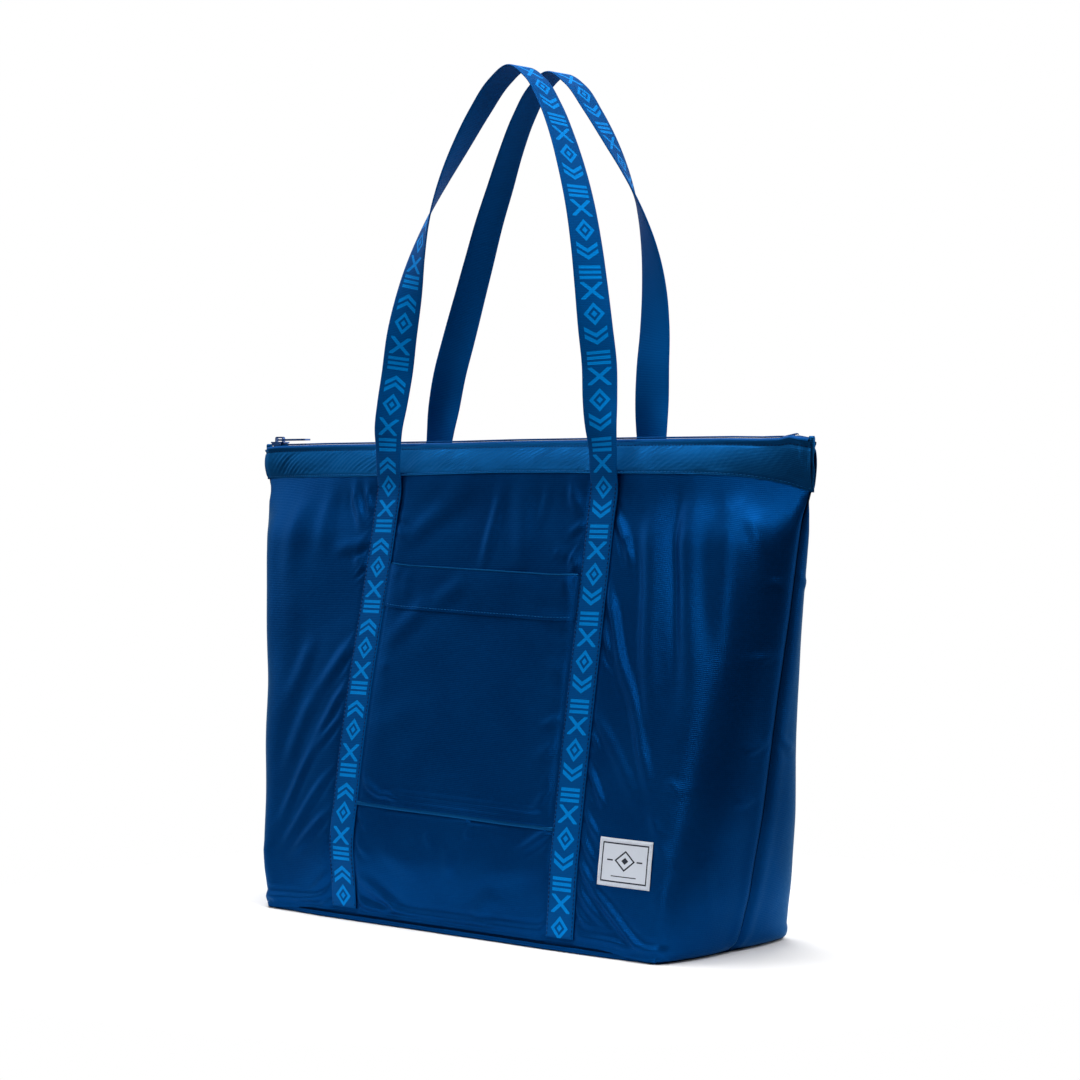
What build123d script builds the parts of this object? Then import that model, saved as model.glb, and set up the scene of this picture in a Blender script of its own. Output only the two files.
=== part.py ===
from build123d import *
import math
import os

# Foldable zip-top tote bag. X runs along the zip, -Y is the front, +Z is up.
# The origin is the middle of the base, where the bag stands. Millimetres.

# Bag body: a wedge, flat and boxed at the base and pinched shut at the zip
base_width = 380.0
base_depth = 150.0
top_width = 534.0  # from side seam to side seam, just under the zip
seam_height = 332.0  # the seam between wall and top band, which is also the fold line
seam_half_depth = 24.0
cloth = 0.8  # hemmed ripstop, thicker here than the real cloth
fit_gap = 0.3  # between pieces that move past each other

# Piping round the base
piping_radius = 2.9
piping_height = 3.4
base_thickness = 1.0
wall_foot = 6.6  # the walls start just above the piping
side_x = base_width / 2 - piping_radius + fit_gap  # where the side piping and gussets start

# Top band and zip
band_top_height = 353.6
band_top_half_depth = 6.4
band_end_half_depth = 2.0
zip_end = 261.5
tape_bottom = 354.2
tape_thickness = 0.5
tape_outer = 8.0
tape_inner = 1.7
coil_outer = 3.3
coil_inner = 0.5
coil_bottom = 354.9
coil_top = 357.0
coil_left = -255.0
coil_right = 243.5
stop_length = 4.0
stop_half_depth = 2.6
tab_length = 8.0
tab_half_depth = 3.4
tab_bottom = 334.0
tab_top = 357.2

# Zip slider and its pull, closed at the left end
slider_x = -254.0
slider_length = 14.0
slider_half_depth = 5.0
slider_plate = 1.1
channel_bottom = 353.7
channel_top = 357.3
flange_bottom = 355.3
flange_thickness = 1.2
divider_half_depth = 1.4
divider_length = 4.5
bridge_half_depth = 1.3
bridge_span = 6.6
bridge_bar = 1.2
bridge_inside = 2.9
pull_length = 32.0
pull_width = 9.2
pull_rail = 1.7
pull_thickness = 1.4
pull_cross_at = 7.4  # from the hinge to the near cross bar, clear of the bridge

# Webbing: sewn up each wall, then free above the seam as a carrying loop
webbing_width = 25.0
webbing_thickness = 1.4
strap_x = 106.0
strap_foot = 9.0
strap_top = 330.0
handle_foot = 334.0
handle_half_depth = 27.2

# Slip pocket between the front straps, and the woven label
pocket_half_width = 92.5
pocket_foot = 87.0
pocket_mouth = 264.0
pocket_hem_depth = 33.0
pocket_tape_depth = 8.0
label_width = 46.0
label_height = 32.5
label_x = 160.0
label_foot = 49.5
label_thickness = 0.7
binding_width = 8.5
binding_half_thickness = 0.5

# Each loop's legs, from the seam to the crown: half spread, depth and height of the
# webbing's centre line, with the webbing's turn from facing front to facing up.
# The two legs of a loop don't turn at the same height.
# Below z = 362 they stay nearly flat, clear of the band while the mouth is open.
front_legs = [
    (strap_x, -handle_half_depth, handle_foot, 0, 0),
    (105.8, -27.6, 350.0, -3, 3),
    (104.8, -28.4, 366.0, -12, 14),
    (102.5, -26.6, 385.0, -21, 30),
    (99.8, -24.0, 408.0, -24, 40),
    (95.5, -23.4, 436.0, -20, 48),
    (90.0, -21.4, 465.0, -6, 58),
    (83.5, -19.0, 495.0, 18, 66),
    (74.5, -15.6, 525.0, 42, 72),
    (63.5, -11.4, 551.0, 62, 77),
    (50.0, -6.6, 577.0, 78, 84),
    (34.5, -2.4, 602.0, 87, 88),
    (18.0, 0.2, 622.0, 90, 90),
    (0.0, 1.0, 632.0, 90, 90),
]
back_legs = [
    (strap_x, handle_half_depth, handle_foot, 0, 0),
    (105.8, 27.6, 350.0, 3, -3),
    (104.6, 28.8, 366.0, 12, -14),
    (103.0, 31.2, 385.0, 30, -25),
    (100.8, 34.8, 408.0, 42, -20),
    (97.2, 41.4, 436.0, 50, -8),
    (92.0, 47.0, 465.0, 60, 6),
    (84.5, 50.6, 495.0, 66, 24),
    (74.5, 51.6, 525.0, 72, 44),
    (63.0, 51.2, 551.0, 77, 63),
    (49.5, 48.6, 577.0, 84, 79),
    (34.0, 46.0, 602.0, 88, 87),
    (18.0, 45.2, 622.0, 90, 90),
    (0.0, 45.0, 632.0, 90, 90),
]


def save(name, shape):
    """Writes one node's solid."""
    shape.label = name
    export_step(shape, f"parts/{name}.step")


def save_both_sides(name, front_shape):
    """Writes a front piece and its mirror image at the back."""
    save(f"front_{name}", front_shape)
    save(f"back_{name}", mirror(front_shape, about=Plane.XZ))


def save_both_ends(name, right_shape):
    """Writes a right-hand piece and its mirror image on the left."""
    save(f"{name}_right", right_shape)
    save(f"{name}_left", mirror(right_shape, about=Plane.YZ))


def along_x(outline, low, high):
    """A prism with the given (y, z) outline, from x = low to x = high."""
    section = Plane.YZ.offset(low) * Polyline(*outline, close=True)
    return extrude(make_face(section), amount=high - low, dir=(1, 0, 0))


def skin(first, second):
    """A thin solid ruled from one four-cornered section to another, corner to corner."""
    faces = []
    for quad in (first, second):
        faces.append(Face(Wire.make_polygon([Vector(*p) for p in quad], close=True)))
    for i in range(4):
        near = Edge.make_line(first[i - 1], first[i])
        far = Edge.make_line(second[i - 1], second[i])
        faces.append(Face.make_surface_from_curves(near, far))
    return Solid(Shell(faces))


def wall_depth(height):
    """How far in front of the middle the front wall's outer face is, at a height."""
    lean = (base_depth / 2 - seam_half_depth) / seam_height
    return base_depth / 2 - lean * height


def on_front_wall(x_low, x_high, foot, top, inner, outer):
    """A flat layer on the front wall, between two offsets from the wall's outer face."""
    angle = math.atan2(base_depth / 2 - seam_half_depth, seam_height)
    normal = (-math.cos(angle), -math.sin(angle))
    corners = [(foot, inner), (top, inner), (top, outer), (foot, outer)]
    outline = [(-wall_depth(z) + normal[0] * out, z + normal[1] * out) for z, out in corners]
    return along_x(outline, x_low, x_high)


def base_pieces():
    """The base panel and the piping round its four edges."""
    panel_half_depth = base_depth / 2 - piping_radius - fit_gap + 0.2
    panel = Box(2 * (side_x - fit_gap), 2 * panel_half_depth, base_thickness)
    save("base_panel", Pos(0, 0, base_thickness / 2) * panel)

    long_roll = Cylinder(piping_radius, 2 * (side_x - fit_gap), rotation=(0, 90, 0))
    save_both_sides("base_piping", Pos(0, -base_depth / 2 - 0.2, piping_height) * long_roll)

    short_roll = Cylinder(piping_radius, 2 * panel_half_depth, rotation=(90, 0, 0))
    save_both_ends("base_piping", Pos(side_x + piping_radius, 0, piping_height) * short_roll)


def wall_pieces():
    """The flat middle of each wall, and the half gussets that run from it to the side seams."""
    edge = side_x - 2 * fit_gap
    wall_top = seam_height - 0.4
    save_both_sides("panel", on_front_wall(-edge, edge, wall_foot, wall_top, -cloth, 0))

    near = side_x
    far = top_width / 2
    seam_y = -binding_half_thickness - fit_gap
    foot = [
        (near, -wall_depth(wall_foot), wall_foot),
        (near, seam_y, wall_foot),
        (near + cloth, seam_y, wall_foot),
        (near + cloth, -wall_depth(wall_foot), wall_foot),
    ]
    top = [
        (near, -seam_half_depth + cloth, wall_top),
        (far, seam_y, wall_top),
        (far, seam_y - cloth, wall_top),
        (near, -seam_half_depth, wall_top),
    ]
    gusset = skin(foot, top)
    save_both_ends("front_gusset", gusset)
    save_both_ends("back_gusset", mirror(gusset, about=Plane.XZ))

    reach = far - near
    tape = [
        (near - binding_width, wall_foot),
        (near + cloth, wall_foot),
        (near + cloth + reach, wall_top),
        (near - binding_width + reach, wall_top),
    ]
    outline = make_face(Plane.XZ * Polyline(*tape, close=True))
    save_both_ends("side_seam_binding", extrude(outline, amount=binding_half_thickness, both=True))


def band_pieces():
    """The top band: a leaning strip along each wall, with ends that come together."""
    foot = seam_height + fit_gap
    rise = band_top_height - foot
    run = seam_half_depth - band_top_half_depth
    along_depth = cloth * math.hypot(rise, run) / rise
    edge = side_x
    outer_foot, outer_top = -seam_half_depth, -band_top_half_depth
    middle = [
        (outer_foot, foot),
        (outer_top, band_top_height),
        (outer_top + along_depth, band_top_height),
        (outer_foot + along_depth, foot),
    ]
    save_both_sides("band", along_x(middle, -edge, edge))

    near = [(edge + fit_gap, y, z) for y, z in middle]
    far = [
        (zip_end, -band_end_half_depth, foot),
        (zip_end, outer_top, band_top_height),
        (zip_end, outer_top + along_depth, band_top_height),
        (zip_end, -band_end_half_depth + along_depth, foot),
    ]
    end = skin(near, far)
    save_both_ends("front_band_end", end)
    save_both_ends("back_band_end", mirror(end, about=Plane.XZ))


def zip_pieces():
    """Tape and coil for each half of the zip, the stop, and the folded end tabs."""
    tape_top = tape_bottom + tape_thickness
    tape = [
        (-tape_outer, tape_bottom),
        (-tape_inner, tape_bottom),
        (-tape_inner, tape_top),
        (-tape_outer, tape_top),
    ]
    save_both_sides("zip_tape", along_x(tape, -zip_end, zip_end))

    bevel = 0.7
    coil = [
        (-coil_outer, coil_bottom),
        (-coil_inner, coil_bottom),
        (-coil_inner, coil_top - bevel),
        (-coil_inner - bevel, coil_top),
        (-coil_outer + bevel, coil_top),
        (-coil_outer, coil_top - bevel),
    ]
    save_both_sides("zip_coil", along_x(coil, coil_left, coil_right))

    stop = Box(stop_length, 2 * stop_half_depth, coil_top - coil_bottom + 0.2)
    stop = fillet(stop.edges().group_by(Axis.Z)[-1], 0.6)
    stop_x = coil_right + 0.5 + stop_length / 2
    save("zip_stop", Pos(stop_x, 0, (coil_top + coil_bottom) / 2) * stop)

    tab = Box(tab_length, 2 * tab_half_depth, tab_top - tab_bottom)
    tab = fillet(tab.edges().filter_by(Axis.Z), 1.2)
    tab_x = zip_end + fit_gap + tab_length / 2
    save_both_ends("zip_end_tab", Pos(tab_x, 0, (tab_top + tab_bottom) / 2) * tab)


def slider_piece():
    """The zip slider: two plates joined by a divider, with flanges and an arched bridge."""
    lower = Pos(slider_x, 0, channel_bottom - slider_plate / 2) * Box(
        slider_length, 2 * slider_half_depth, slider_plate
    )
    upper = Pos(slider_x, 0, channel_top + slider_plate / 2) * Box(
        slider_length, 2 * slider_half_depth, slider_plate
    )
    lower = fillet(lower.edges().filter_by(Axis.Z), 2.4)
    upper = fillet(upper.edges().filter_by(Axis.Z), 2.4)
    divider_x = slider_x - slider_length / 2 + divider_length / 2 + 0.6
    body = lower + upper
    body += Pos(divider_x, 0, (channel_bottom + channel_top) / 2) * Box(
        divider_length, 2 * divider_half_depth, channel_top - channel_bottom
    )
    flange_height = channel_top - flange_bottom
    for side in (-1, 1):
        flange_y = side * (slider_half_depth - flange_thickness / 2)
        body += Pos(slider_x, flange_y, flange_bottom + flange_height / 2) * Box(
            slider_length - 5.0, flange_thickness, flange_height
        )
    deck = channel_top + slider_plate
    arch = Box(
        bridge_span + 2 * bridge_bar, 2 * bridge_half_depth, bridge_inside + bridge_bar,
        align=(Align.CENTER, Align.CENTER, Align.MIN),
    )
    top_edges = arch.edges().filter_by(Axis.Y).group_by(Axis.Z)[-1]
    arch = fillet(top_edges, 1.6)
    arch -= Box(
        bridge_span, 4 * bridge_half_depth, bridge_inside,
        align=(Align.CENTER, Align.CENTER, Align.MIN),
    )
    body += Pos(slider_x, 0, deck) * arch
    save("slider_body", body)


def pull_piece():
    """The pull: an open frame that lies along the zip and hangs from the slider's bridge."""
    hinge_height = channel_top + slider_plate + bridge_inside / 2
    frame_near = slider_x - pull_thickness / 2
    frame = Box(
        pull_length, pull_width, pull_thickness,
        align=(Align.MIN, Align.CENTER, Align.CENTER),
    )
    frame = fillet(frame.edges().filter_by(Axis.Z), 2.2)
    near_window = Box(
        pull_cross_at - pull_thickness, pull_width - 2 * pull_rail, 2 * pull_thickness,
        align=(Align.MIN, Align.CENTER, Align.CENTER),
    )
    far_start = pull_cross_at + pull_rail
    far_window = Box(
        pull_length - far_start - pull_rail, pull_width - 2 * pull_rail, 2 * pull_thickness,
        align=(Align.MIN, Align.CENTER, Align.CENTER),
    )
    far_window = fillet(far_window.edges().filter_by(Axis.Z), 1.2)
    frame -= Pos(pull_thickness, 0, 0) * near_window
    frame -= Pos(far_start, 0, 0) * far_window
    save("pull_frame", Pos(frame_near, 0, hinge_height) * frame)


def strap_pieces():
    """The stretches of webbing sewn up the walls, one each side of the middle."""
    left, right = strap_x - webbing_width / 2, strap_x + webbing_width / 2
    strap = on_front_wall(left, right, strap_foot, strap_top, 0.05, 0.05 + webbing_thickness)
    save_both_ends("front_strap", strap)
    save_both_ends("back_strap", mirror(strap, about=Plane.XZ))


def webbing_section(centre, tangent, turn):
    """The webbing's cross section: its width starts along X and turns about Z."""
    width = Vector(math.cos(turn), math.sin(turn), 0)
    width = (width - tangent * width.dot(tangent)).normalized()
    face = tangent.cross(width)
    a = width * (webbing_width / 2)
    b = face * (webbing_thickness / 2)
    corners = [centre - a - b, centre + a - b, centre + a + b, centre - a + b]
    return Wire.make_polygon(corners, close=True)


def handle_loop(legs, side):
    """A carrying loop: up the left leg, over the crown and down the right leg."""
    left = [(-x, y, z, side * turn) for x, y, z, turn, _ in legs]
    right = [(x, y, z, side * (180 - turn)) for x, y, z, _, turn in legs[:-1]]
    stations = left + right[::-1]
    points = [Vector(x, y, z) for x, y, z, _ in stations]
    sections = []
    for i, (_, _, _, turn) in enumerate(stations):
        before = points[max(i - 1, 0)]
        after = points[min(i + 1, len(points) - 1)]
        if i in (0, len(points) - 1):
            tangent = Vector(0, 0, 1 if i == 0 else -1)
        else:
            tangent = (after - before).normalized()
        sections.append(webbing_section(points[i], tangent, math.radians(turn)))
    return Solid.make_loft(sections, ruled=True)


def front_fittings():
    """The slip pocket with its hem and base tape, and the woven label."""
    first = 0.05
    pocket = on_front_wall(
        -pocket_half_width, pocket_half_width, pocket_foot, pocket_mouth, first, first + cloth
    )
    save("front_pocket", pocket)
    second = 2 * first + cloth
    hem = on_front_wall(
        -pocket_half_width, pocket_half_width,
        pocket_mouth - pocket_hem_depth, pocket_mouth, second, second + cloth,
    )
    save("pocket_hem", hem)
    tape = on_front_wall(
        -pocket_half_width, pocket_half_width,
        pocket_foot, pocket_foot + pocket_tape_depth, second, second + cloth,
    )
    save("pocket_base_tape", tape)
    label = on_front_wall(
        label_x - label_width / 2, label_x + label_width / 2,
        label_foot, label_foot + label_height, first, first + label_thickness,
    )
    save("woven_label", label)


os.makedirs("parts", exist_ok=True)
base_pieces()
wall_pieces()
band_pieces()
zip_pieces()
slider_piece()
pull_piece()
strap_pieces()
front_fittings()
save("front_handle_loop", handle_loop(front_legs, -1))
save("back_handle_loop", handle_loop(back_legs, 1))
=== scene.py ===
"""A foldable tote bag: the detailed visual model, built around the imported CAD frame.

Lengths are millimetres in the row frame (X along the zip, -Y the front, +Z up) until a mesh is
made. The cloth, band, zip and stitches of each half are worked out as if it were the front, and
the back half is turned half a circle about Z. A half is side 1 at the front and -1 at the back."""

import math
from functools import partial

import bpy
import numpy as np
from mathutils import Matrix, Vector


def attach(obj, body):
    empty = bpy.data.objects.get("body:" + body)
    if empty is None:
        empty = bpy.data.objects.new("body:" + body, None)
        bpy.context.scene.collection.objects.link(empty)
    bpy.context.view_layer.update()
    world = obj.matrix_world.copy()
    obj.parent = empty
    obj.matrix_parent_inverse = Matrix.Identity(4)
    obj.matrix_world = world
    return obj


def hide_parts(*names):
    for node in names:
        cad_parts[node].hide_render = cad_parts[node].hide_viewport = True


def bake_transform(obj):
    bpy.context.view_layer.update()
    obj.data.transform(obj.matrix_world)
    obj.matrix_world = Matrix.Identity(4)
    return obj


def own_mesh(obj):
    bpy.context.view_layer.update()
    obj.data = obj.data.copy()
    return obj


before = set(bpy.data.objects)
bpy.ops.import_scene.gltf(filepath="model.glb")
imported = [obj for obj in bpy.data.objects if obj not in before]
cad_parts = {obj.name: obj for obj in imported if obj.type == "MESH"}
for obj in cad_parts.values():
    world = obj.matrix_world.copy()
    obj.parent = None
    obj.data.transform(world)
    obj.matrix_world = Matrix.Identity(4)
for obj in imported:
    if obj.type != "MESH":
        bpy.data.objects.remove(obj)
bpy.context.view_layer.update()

MM = 0.001

# the bag's own sizes, as in the CAD
WALL_FOOT = 5.0
SEAM_Z = 332.0
HALF_DEPTH = 75.0
WALL_LEAN = 0.15361  # how far the wall leans in, per millimetre up
PANEL_X = 187.4  # where the flat wall ends and the gusset starts
SEAM_X = 267.0  # the side seam's reach at the top
CLOTH = 0.5
STRAP_X = 106.0
STRAP_HALF = 12.5
STRAP_THICK = 1.4
POCKET_X = 92.5
POCKET_FOOT = 87.0
POCKET_TOP = 264.0
HEM_DEPTH = 33.0
LABEL = (137.5, 183.5, 51.0, 83.5)  # its left, right, foot and top
SEWN_GAP = 0.05  # between the wall and the webbing on it
BAND_HEIGHT = 34.0  # for its weave and gathers; the sheet itself measures 31
BAND_X = 267.6  # the band's reach to each side
BAND_FOOT_STITCH = 0.05  # the stitch lines' places, as shares of the band's height
BAND_TOP_STITCH = 0.885
MOUTH_X = 165.0  # between these the band opens with the mouth; past them it bends to the ends
ZIP_Z = 353.7  # the band's upper edge, at the zip
ZIP_HALF = 6.5  # from the middle of the zip to the band's upper edge
STITCH_PITCH = 3.1
MOTIF_REPEAT = 62.0
MOTIF_COLOUR = (0.0, 0.27, 0.80)

# how finely the cloth is divided, and what moves it as it settles
GUSSET_COLUMNS = 44
PANEL_COLUMNS = 200
ROWS = 165
COLUMNS = 2 * GUSSET_COLUMNS + PANEL_COLUMNS + 1
BAND_ROWS = 24
BAND_COLUMNS = 360
AIR_PUSH = 0.004  # millimetres outwards in each round
CLOTH_WEIGHT = 0.006  # and downwards
KEPT_SPEED = 0.85  # the share of its speed that a point keeps from round to round
BEND_SPRING = 0.10  # how strongly the cloth resists a bend, beside 1 for a stretch

# ---------------------------------------------------------------- camera, floor and light
camera_data = bpy.data.cameras.new("camera")
camera_data.lens = 90.3
camera_data.sensor_width = 36.0
camera_data.clip_end = 100.0
camera = bpy.data.objects.new("camera", camera_data)
camera.location = (1.334, -1.4925, 0.323)
camera.rotation_euler = (math.radians(90 - 1.14), 0.0, math.radians(41.3))
bpy.context.collection.objects.link(camera)
bpy.context.scene.camera = camera
bpy.context.scene.view_settings.view_transform = "Standard"


def area_light(name, place, target, size, watts, colour=(1, 1, 1)):
    """A soft studio panel that faces its target."""
    light = bpy.data.lights.new(name, "AREA")
    light.shape = "RECTANGLE"
    light.size, light.size_y = size
    light.energy = watts
    light.color = colour
    lamp = bpy.data.objects.new(name, light)
    lamp.location = place
    lamp.rotation_euler = (Vector(target) - Vector(place)).to_track_quat("-Z", "Y").to_euler()
    bpy.context.collection.objects.link(lamp)
    return lamp


area_light("top_panel", (-0.3, -0.1, 2.3), (0, 0, 0.2), (1.6, 1.6), 52)
area_light("left_panel", (-2.4, -0.5, 1.2), (0, 0, 0.25), (0.8, 1.4), 6)
area_light("front_panel", (0.3, -2.5, 1.6), (0, 0, 0.2), (0.8, 0.8), 18)
area_light("crown_panel", (1.7, -0.3, 2.0), (0, 0, 0.5), (0.5, 0.5), 20)
area_light("back_panel", (1.6, 2.0, 1.0), (0.1, 0, 0.25), (1.2, 1.6), 18)

world = bpy.data.worlds.new("studio")
bpy.context.scene.world = world
world.use_nodes = True


def node(tree, kind, **inputs):
    """A new shader node with these inputs set or linked: i0 and i1 by number, others by name."""
    made = tree.nodes.new(kind)
    for key, value in inputs.items():
        numbered = key[0] == "i" and key[1:].isdigit()
        socket = made.inputs[int(key[1:]) if numbered else key.replace("_", " ")]
        if isinstance(value, bpy.types.NodeSocket):
            tree.links.new(value, socket)
        else:
            socket.default_value = value
    return made


def math_node(tree, operation, first, second=0.0, third=0.0):
    made = node(tree, "ShaderNodeMath", i0=first, i1=second, i2=third)
    made.operation = operation
    return made.outputs[0]


def smooth_ramp(tree, value, low, high, foot=0.0, top=1.0):
    """A smooth change from foot to top while the value goes from low to high."""
    made = node(
        tree, "ShaderNodeMapRange",
        Value=value, From_Min=low, From_Max=high, To_Min=foot, To_Max=top,
    )
    made.interpolation_type = "SMOOTHSTEP"
    return made.outputs[0]


def studio_world(tree):
    """White to the eye, and dimmer towards the camera's side for what the cloth reflects."""
    tree.nodes.clear()
    place = node(tree, "ShaderNodeTexCoord").outputs["Generated"]
    parts = node(tree, "ShaderNodeSeparateXYZ", Vector=place)
    # brightest behind the bag, darkest on the right of the camera
    side = math_node(tree, "MULTIPLY_ADD", parts.outputs["Y"], 0.55, 0.0)
    side = math_node(tree, "MULTIPLY_ADD", parts.outputs["X"], -0.45, side)
    up = math_node(tree, "MULTIPLY_ADD", parts.outputs["Z"], 0.30, side)
    ramp = smooth_ramp(tree, up, -0.55, 0.75, 0.02, 0.85)
    seen = node(tree, "ShaderNodeLightPath").outputs["Is Camera Ray"]
    lit = node(tree, "ShaderNodeBackground", Strength=ramp)
    plain = node(tree, "ShaderNodeBackground", Strength=1.0, Color=(1, 1, 1, 1))
    mixed = node(tree, "ShaderNodeMixShader", i0=seen, i1=lit.outputs[0], i2=plain.outputs[0])
    node(tree, "ShaderNodeOutputWorld", Surface=mixed.outputs[0])


studio_world(world.node_tree)


# ---------------------------------------------------------------- materials
def new_material(name, **values):
    """A material with one shader, whose own sockets are set to these values."""
    made = bpy.data.materials.new(name)
    made.use_nodes = True
    tree = made.node_tree
    tree.nodes.clear()
    shader = node(tree, "ShaderNodeBsdfPrincipled", **values)
    node(tree, "ShaderNodeOutputMaterial", Surface=shader.outputs[0])
    return made, tree, shader


def mixed_colour(tree, factor, first, second):
    made = node(tree, "ShaderNodeMix", i0=factor)
    made.data_type = "RGBA"
    for socket, value in ((made.inputs[6], first), (made.inputs[7], second)):
        if isinstance(value, bpy.types.NodeSocket):
            tree.links.new(value, socket)
        else:
            socket.default_value = (*value, 1.0)
    return made.outputs[2]


def noise(tree, vector, scale, detail=2.0, distortion=0.0):
    return node(
        tree, "ShaderNodeTexNoise",
        Vector=vector, Scale=scale, Detail=detail, Distortion=distortion,
    ).outputs[0]


def bump(tree, shader, height, distance, normal=None):
    made = node(tree, "ShaderNodeBump", Height=height, Distance=distance, Strength=1.0)
    if normal is not None:
        tree.links.new(normal, made.inputs["Normal"])
    tree.links.new(made.outputs[0], shader.inputs["Normal"])
    return made.outputs[0]


def wave(tree, position, pitch, phase=0.0):
    """A smooth ridge from 0 to 1, once in every pitch of the position."""
    turned = math_node(tree, "MULTIPLY_ADD", position, 2 * math.pi / pitch, phase)
    return math_node(tree, "MULTIPLY_ADD", math_node(tree, "SINE", turned), 0.5, 0.5)


def cloth_position(tree):
    """Position on the flat cloth in millimetres: across, up, and both as one vector."""
    place = node(tree, "ShaderNodeUVMap")
    place.uv_map = "cloth"
    parts = node(tree, "ShaderNodeSeparateXYZ", Vector=place.outputs[0])
    return place.outputs[0], parts.outputs["X"], parts.outputs["Y"]


def ripstop_material(name, deep, bright, rough=0.34, crinkle=0.20):
    """Satin nylon with a fine raised grid of thicker threads and a papery crinkle."""
    made, tree, shader = new_material(
        name, Metallic=0.6, Specular_IOR_Level=0.015, Specular_Tint=(0.32, 0.68, 1.0, 1.0)
    )
    place, across, up = cloth_position(tree)
    lines_up = math_node(tree, "POWER", wave(tree, up, 1.35), 3.0)
    lines_across = math_node(tree, "POWER", wave(tree, across, 1.6), 6.0)
    grid = math_node(tree, "MAXIMUM", lines_up, math_node(tree, "MULTIPLY", lines_across, 0.55))
    shade = noise(tree, place, 0.018, 3.0, 0.4)
    patch = noise(tree, place, 0.30, 2.0)
    tone = math_node(tree, "MULTIPLY_ADD", grid, 0.12, math_node(tree, "MULTIPLY", shade, 0.5))
    tone = math_node(tree, "MULTIPLY_ADD", patch, 0.14, tone)
    tree.links.new(mixed_colour(tree, tone, deep, bright), shader.inputs["Base Color"])
    gloss = math_node(tree, "MULTIPLY_ADD", patch, 0.14, rough - 0.07)
    tree.links.new(gloss, shader.inputs["Roughness"])
    folds = noise(tree, place, 0.05, 4.0, 0.4)
    soft = bump(tree, shader, folds, crinkle * MM)
    papery = noise(tree, place, 0.22, 3.0, 0.8)
    finer = bump(tree, shader, papery, 0.10 * MM, soft)
    bump(tree, shader, grid, 0.07 * MM, finer)
    return made


ripstop = ripstop_material("ripstop_nylon", (0.0003, 0.023, 0.108), (0.0006, 0.070, 0.27))
band_cloth = ripstop_material(
    "ripstop_band", (0.002, 0.046, 0.162), (0.006, 0.106, 0.31), 0.40, 0.15
)
lining = ripstop_material("ripstop_inside", (0.0008, 0.022, 0.09), (0.002, 0.05, 0.17), 0.6, 0.3)


# ---------------------------------------------------------------- surfaces
def half_name(side):
    return "front" if side > 0 else "back"


def smooth(value, low, high):
    """0 up to low, 1 from high on, and a smooth rise between them."""
    share = np.clip((value - low) / (high - low), 0.0, 1.0)
    return share * share * (3 - 2 * share)


def eased(value, places, heights, reach=8.0):
    """A table read off with its corners rounded."""
    steps = (-reach, -reach / 2, 0.0, reach / 2, reach)
    return np.mean([np.interp(value + step, places, heights) for step in steps], axis=0)


def wall_y(x, z):
    """The wall's surface: it leans in, and air and slack push it out, most at the lower left."""
    push = 11.0 * smooth(z, 5, 62) * (1 - smooth(z, 110, SEAM_Z))
    share = (0.35 + 0.65 * smooth(x, -190, -118)) * (1 - 0.78 * smooth(x, -100, 150))
    return -(HALF_DEPTH - WALL_LEAN * z) - push * share


def seam_y(x):
    """The band seam seen from above: bowed out in the middle, closed at both ends."""
    return -25.5 * (1 - np.clip(np.abs(x) / 266.5, 0, 1) ** 2.6)


def seam_z(x):
    """The band seam's height: it rides up in the middle and sags at its right end."""
    places = (-268, -200, -106, -60, 0, 60, 106, 150, 190, 215, 240, 258, 268)
    heights = (331, 332, 332.6, 333.4, 334.6, 334.6, 334, 333.6, 333, 331.6, 328.2, 324, 320)
    return eased(x, places, heights)


def gusset_reach(z):
    """How far the side seam stands out from the wall's edge: the air in the bag rounds it."""
    heights = (0, 4, 8, 16, 43, 65, 95, 120, 146, 178, 235, 275, 306, 333)
    reaches = (7, 12, 16, 19.5, 27.4, 31.5, 38, 42, 46, 51, 61, 67, 72, 79)
    return eased(z, heights, reaches, 4.0)


def foot_drop(x):
    """How far the cloth's foot hangs over the piping: little in the middle, to the floor at the
    corners and sides."""
    return 1.2 + 2.3 * smooth(np.abs(x), 140, PANEL_X)


def gusset_arc(reach, depth):
    """Evenly spaced points from the wall's edge round to the side seam: x past the edge, and y."""
    power = 2.5
    turn = np.linspace(np.pi / 2, 0, 181)
    x = reach * np.cos(turn).clip(0) ** (2 / power)
    y = -depth * np.sin(turn).clip(0) ** (2 / power)
    run = np.concatenate([[0], np.cumsum(np.hypot(np.diff(x), np.diff(y)))])
    wanted = np.linspace(0, run[-1], GUSSET_COLUMNS + 1)
    return np.interp(wanted, run, x), np.interp(wanted, run, y)


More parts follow.
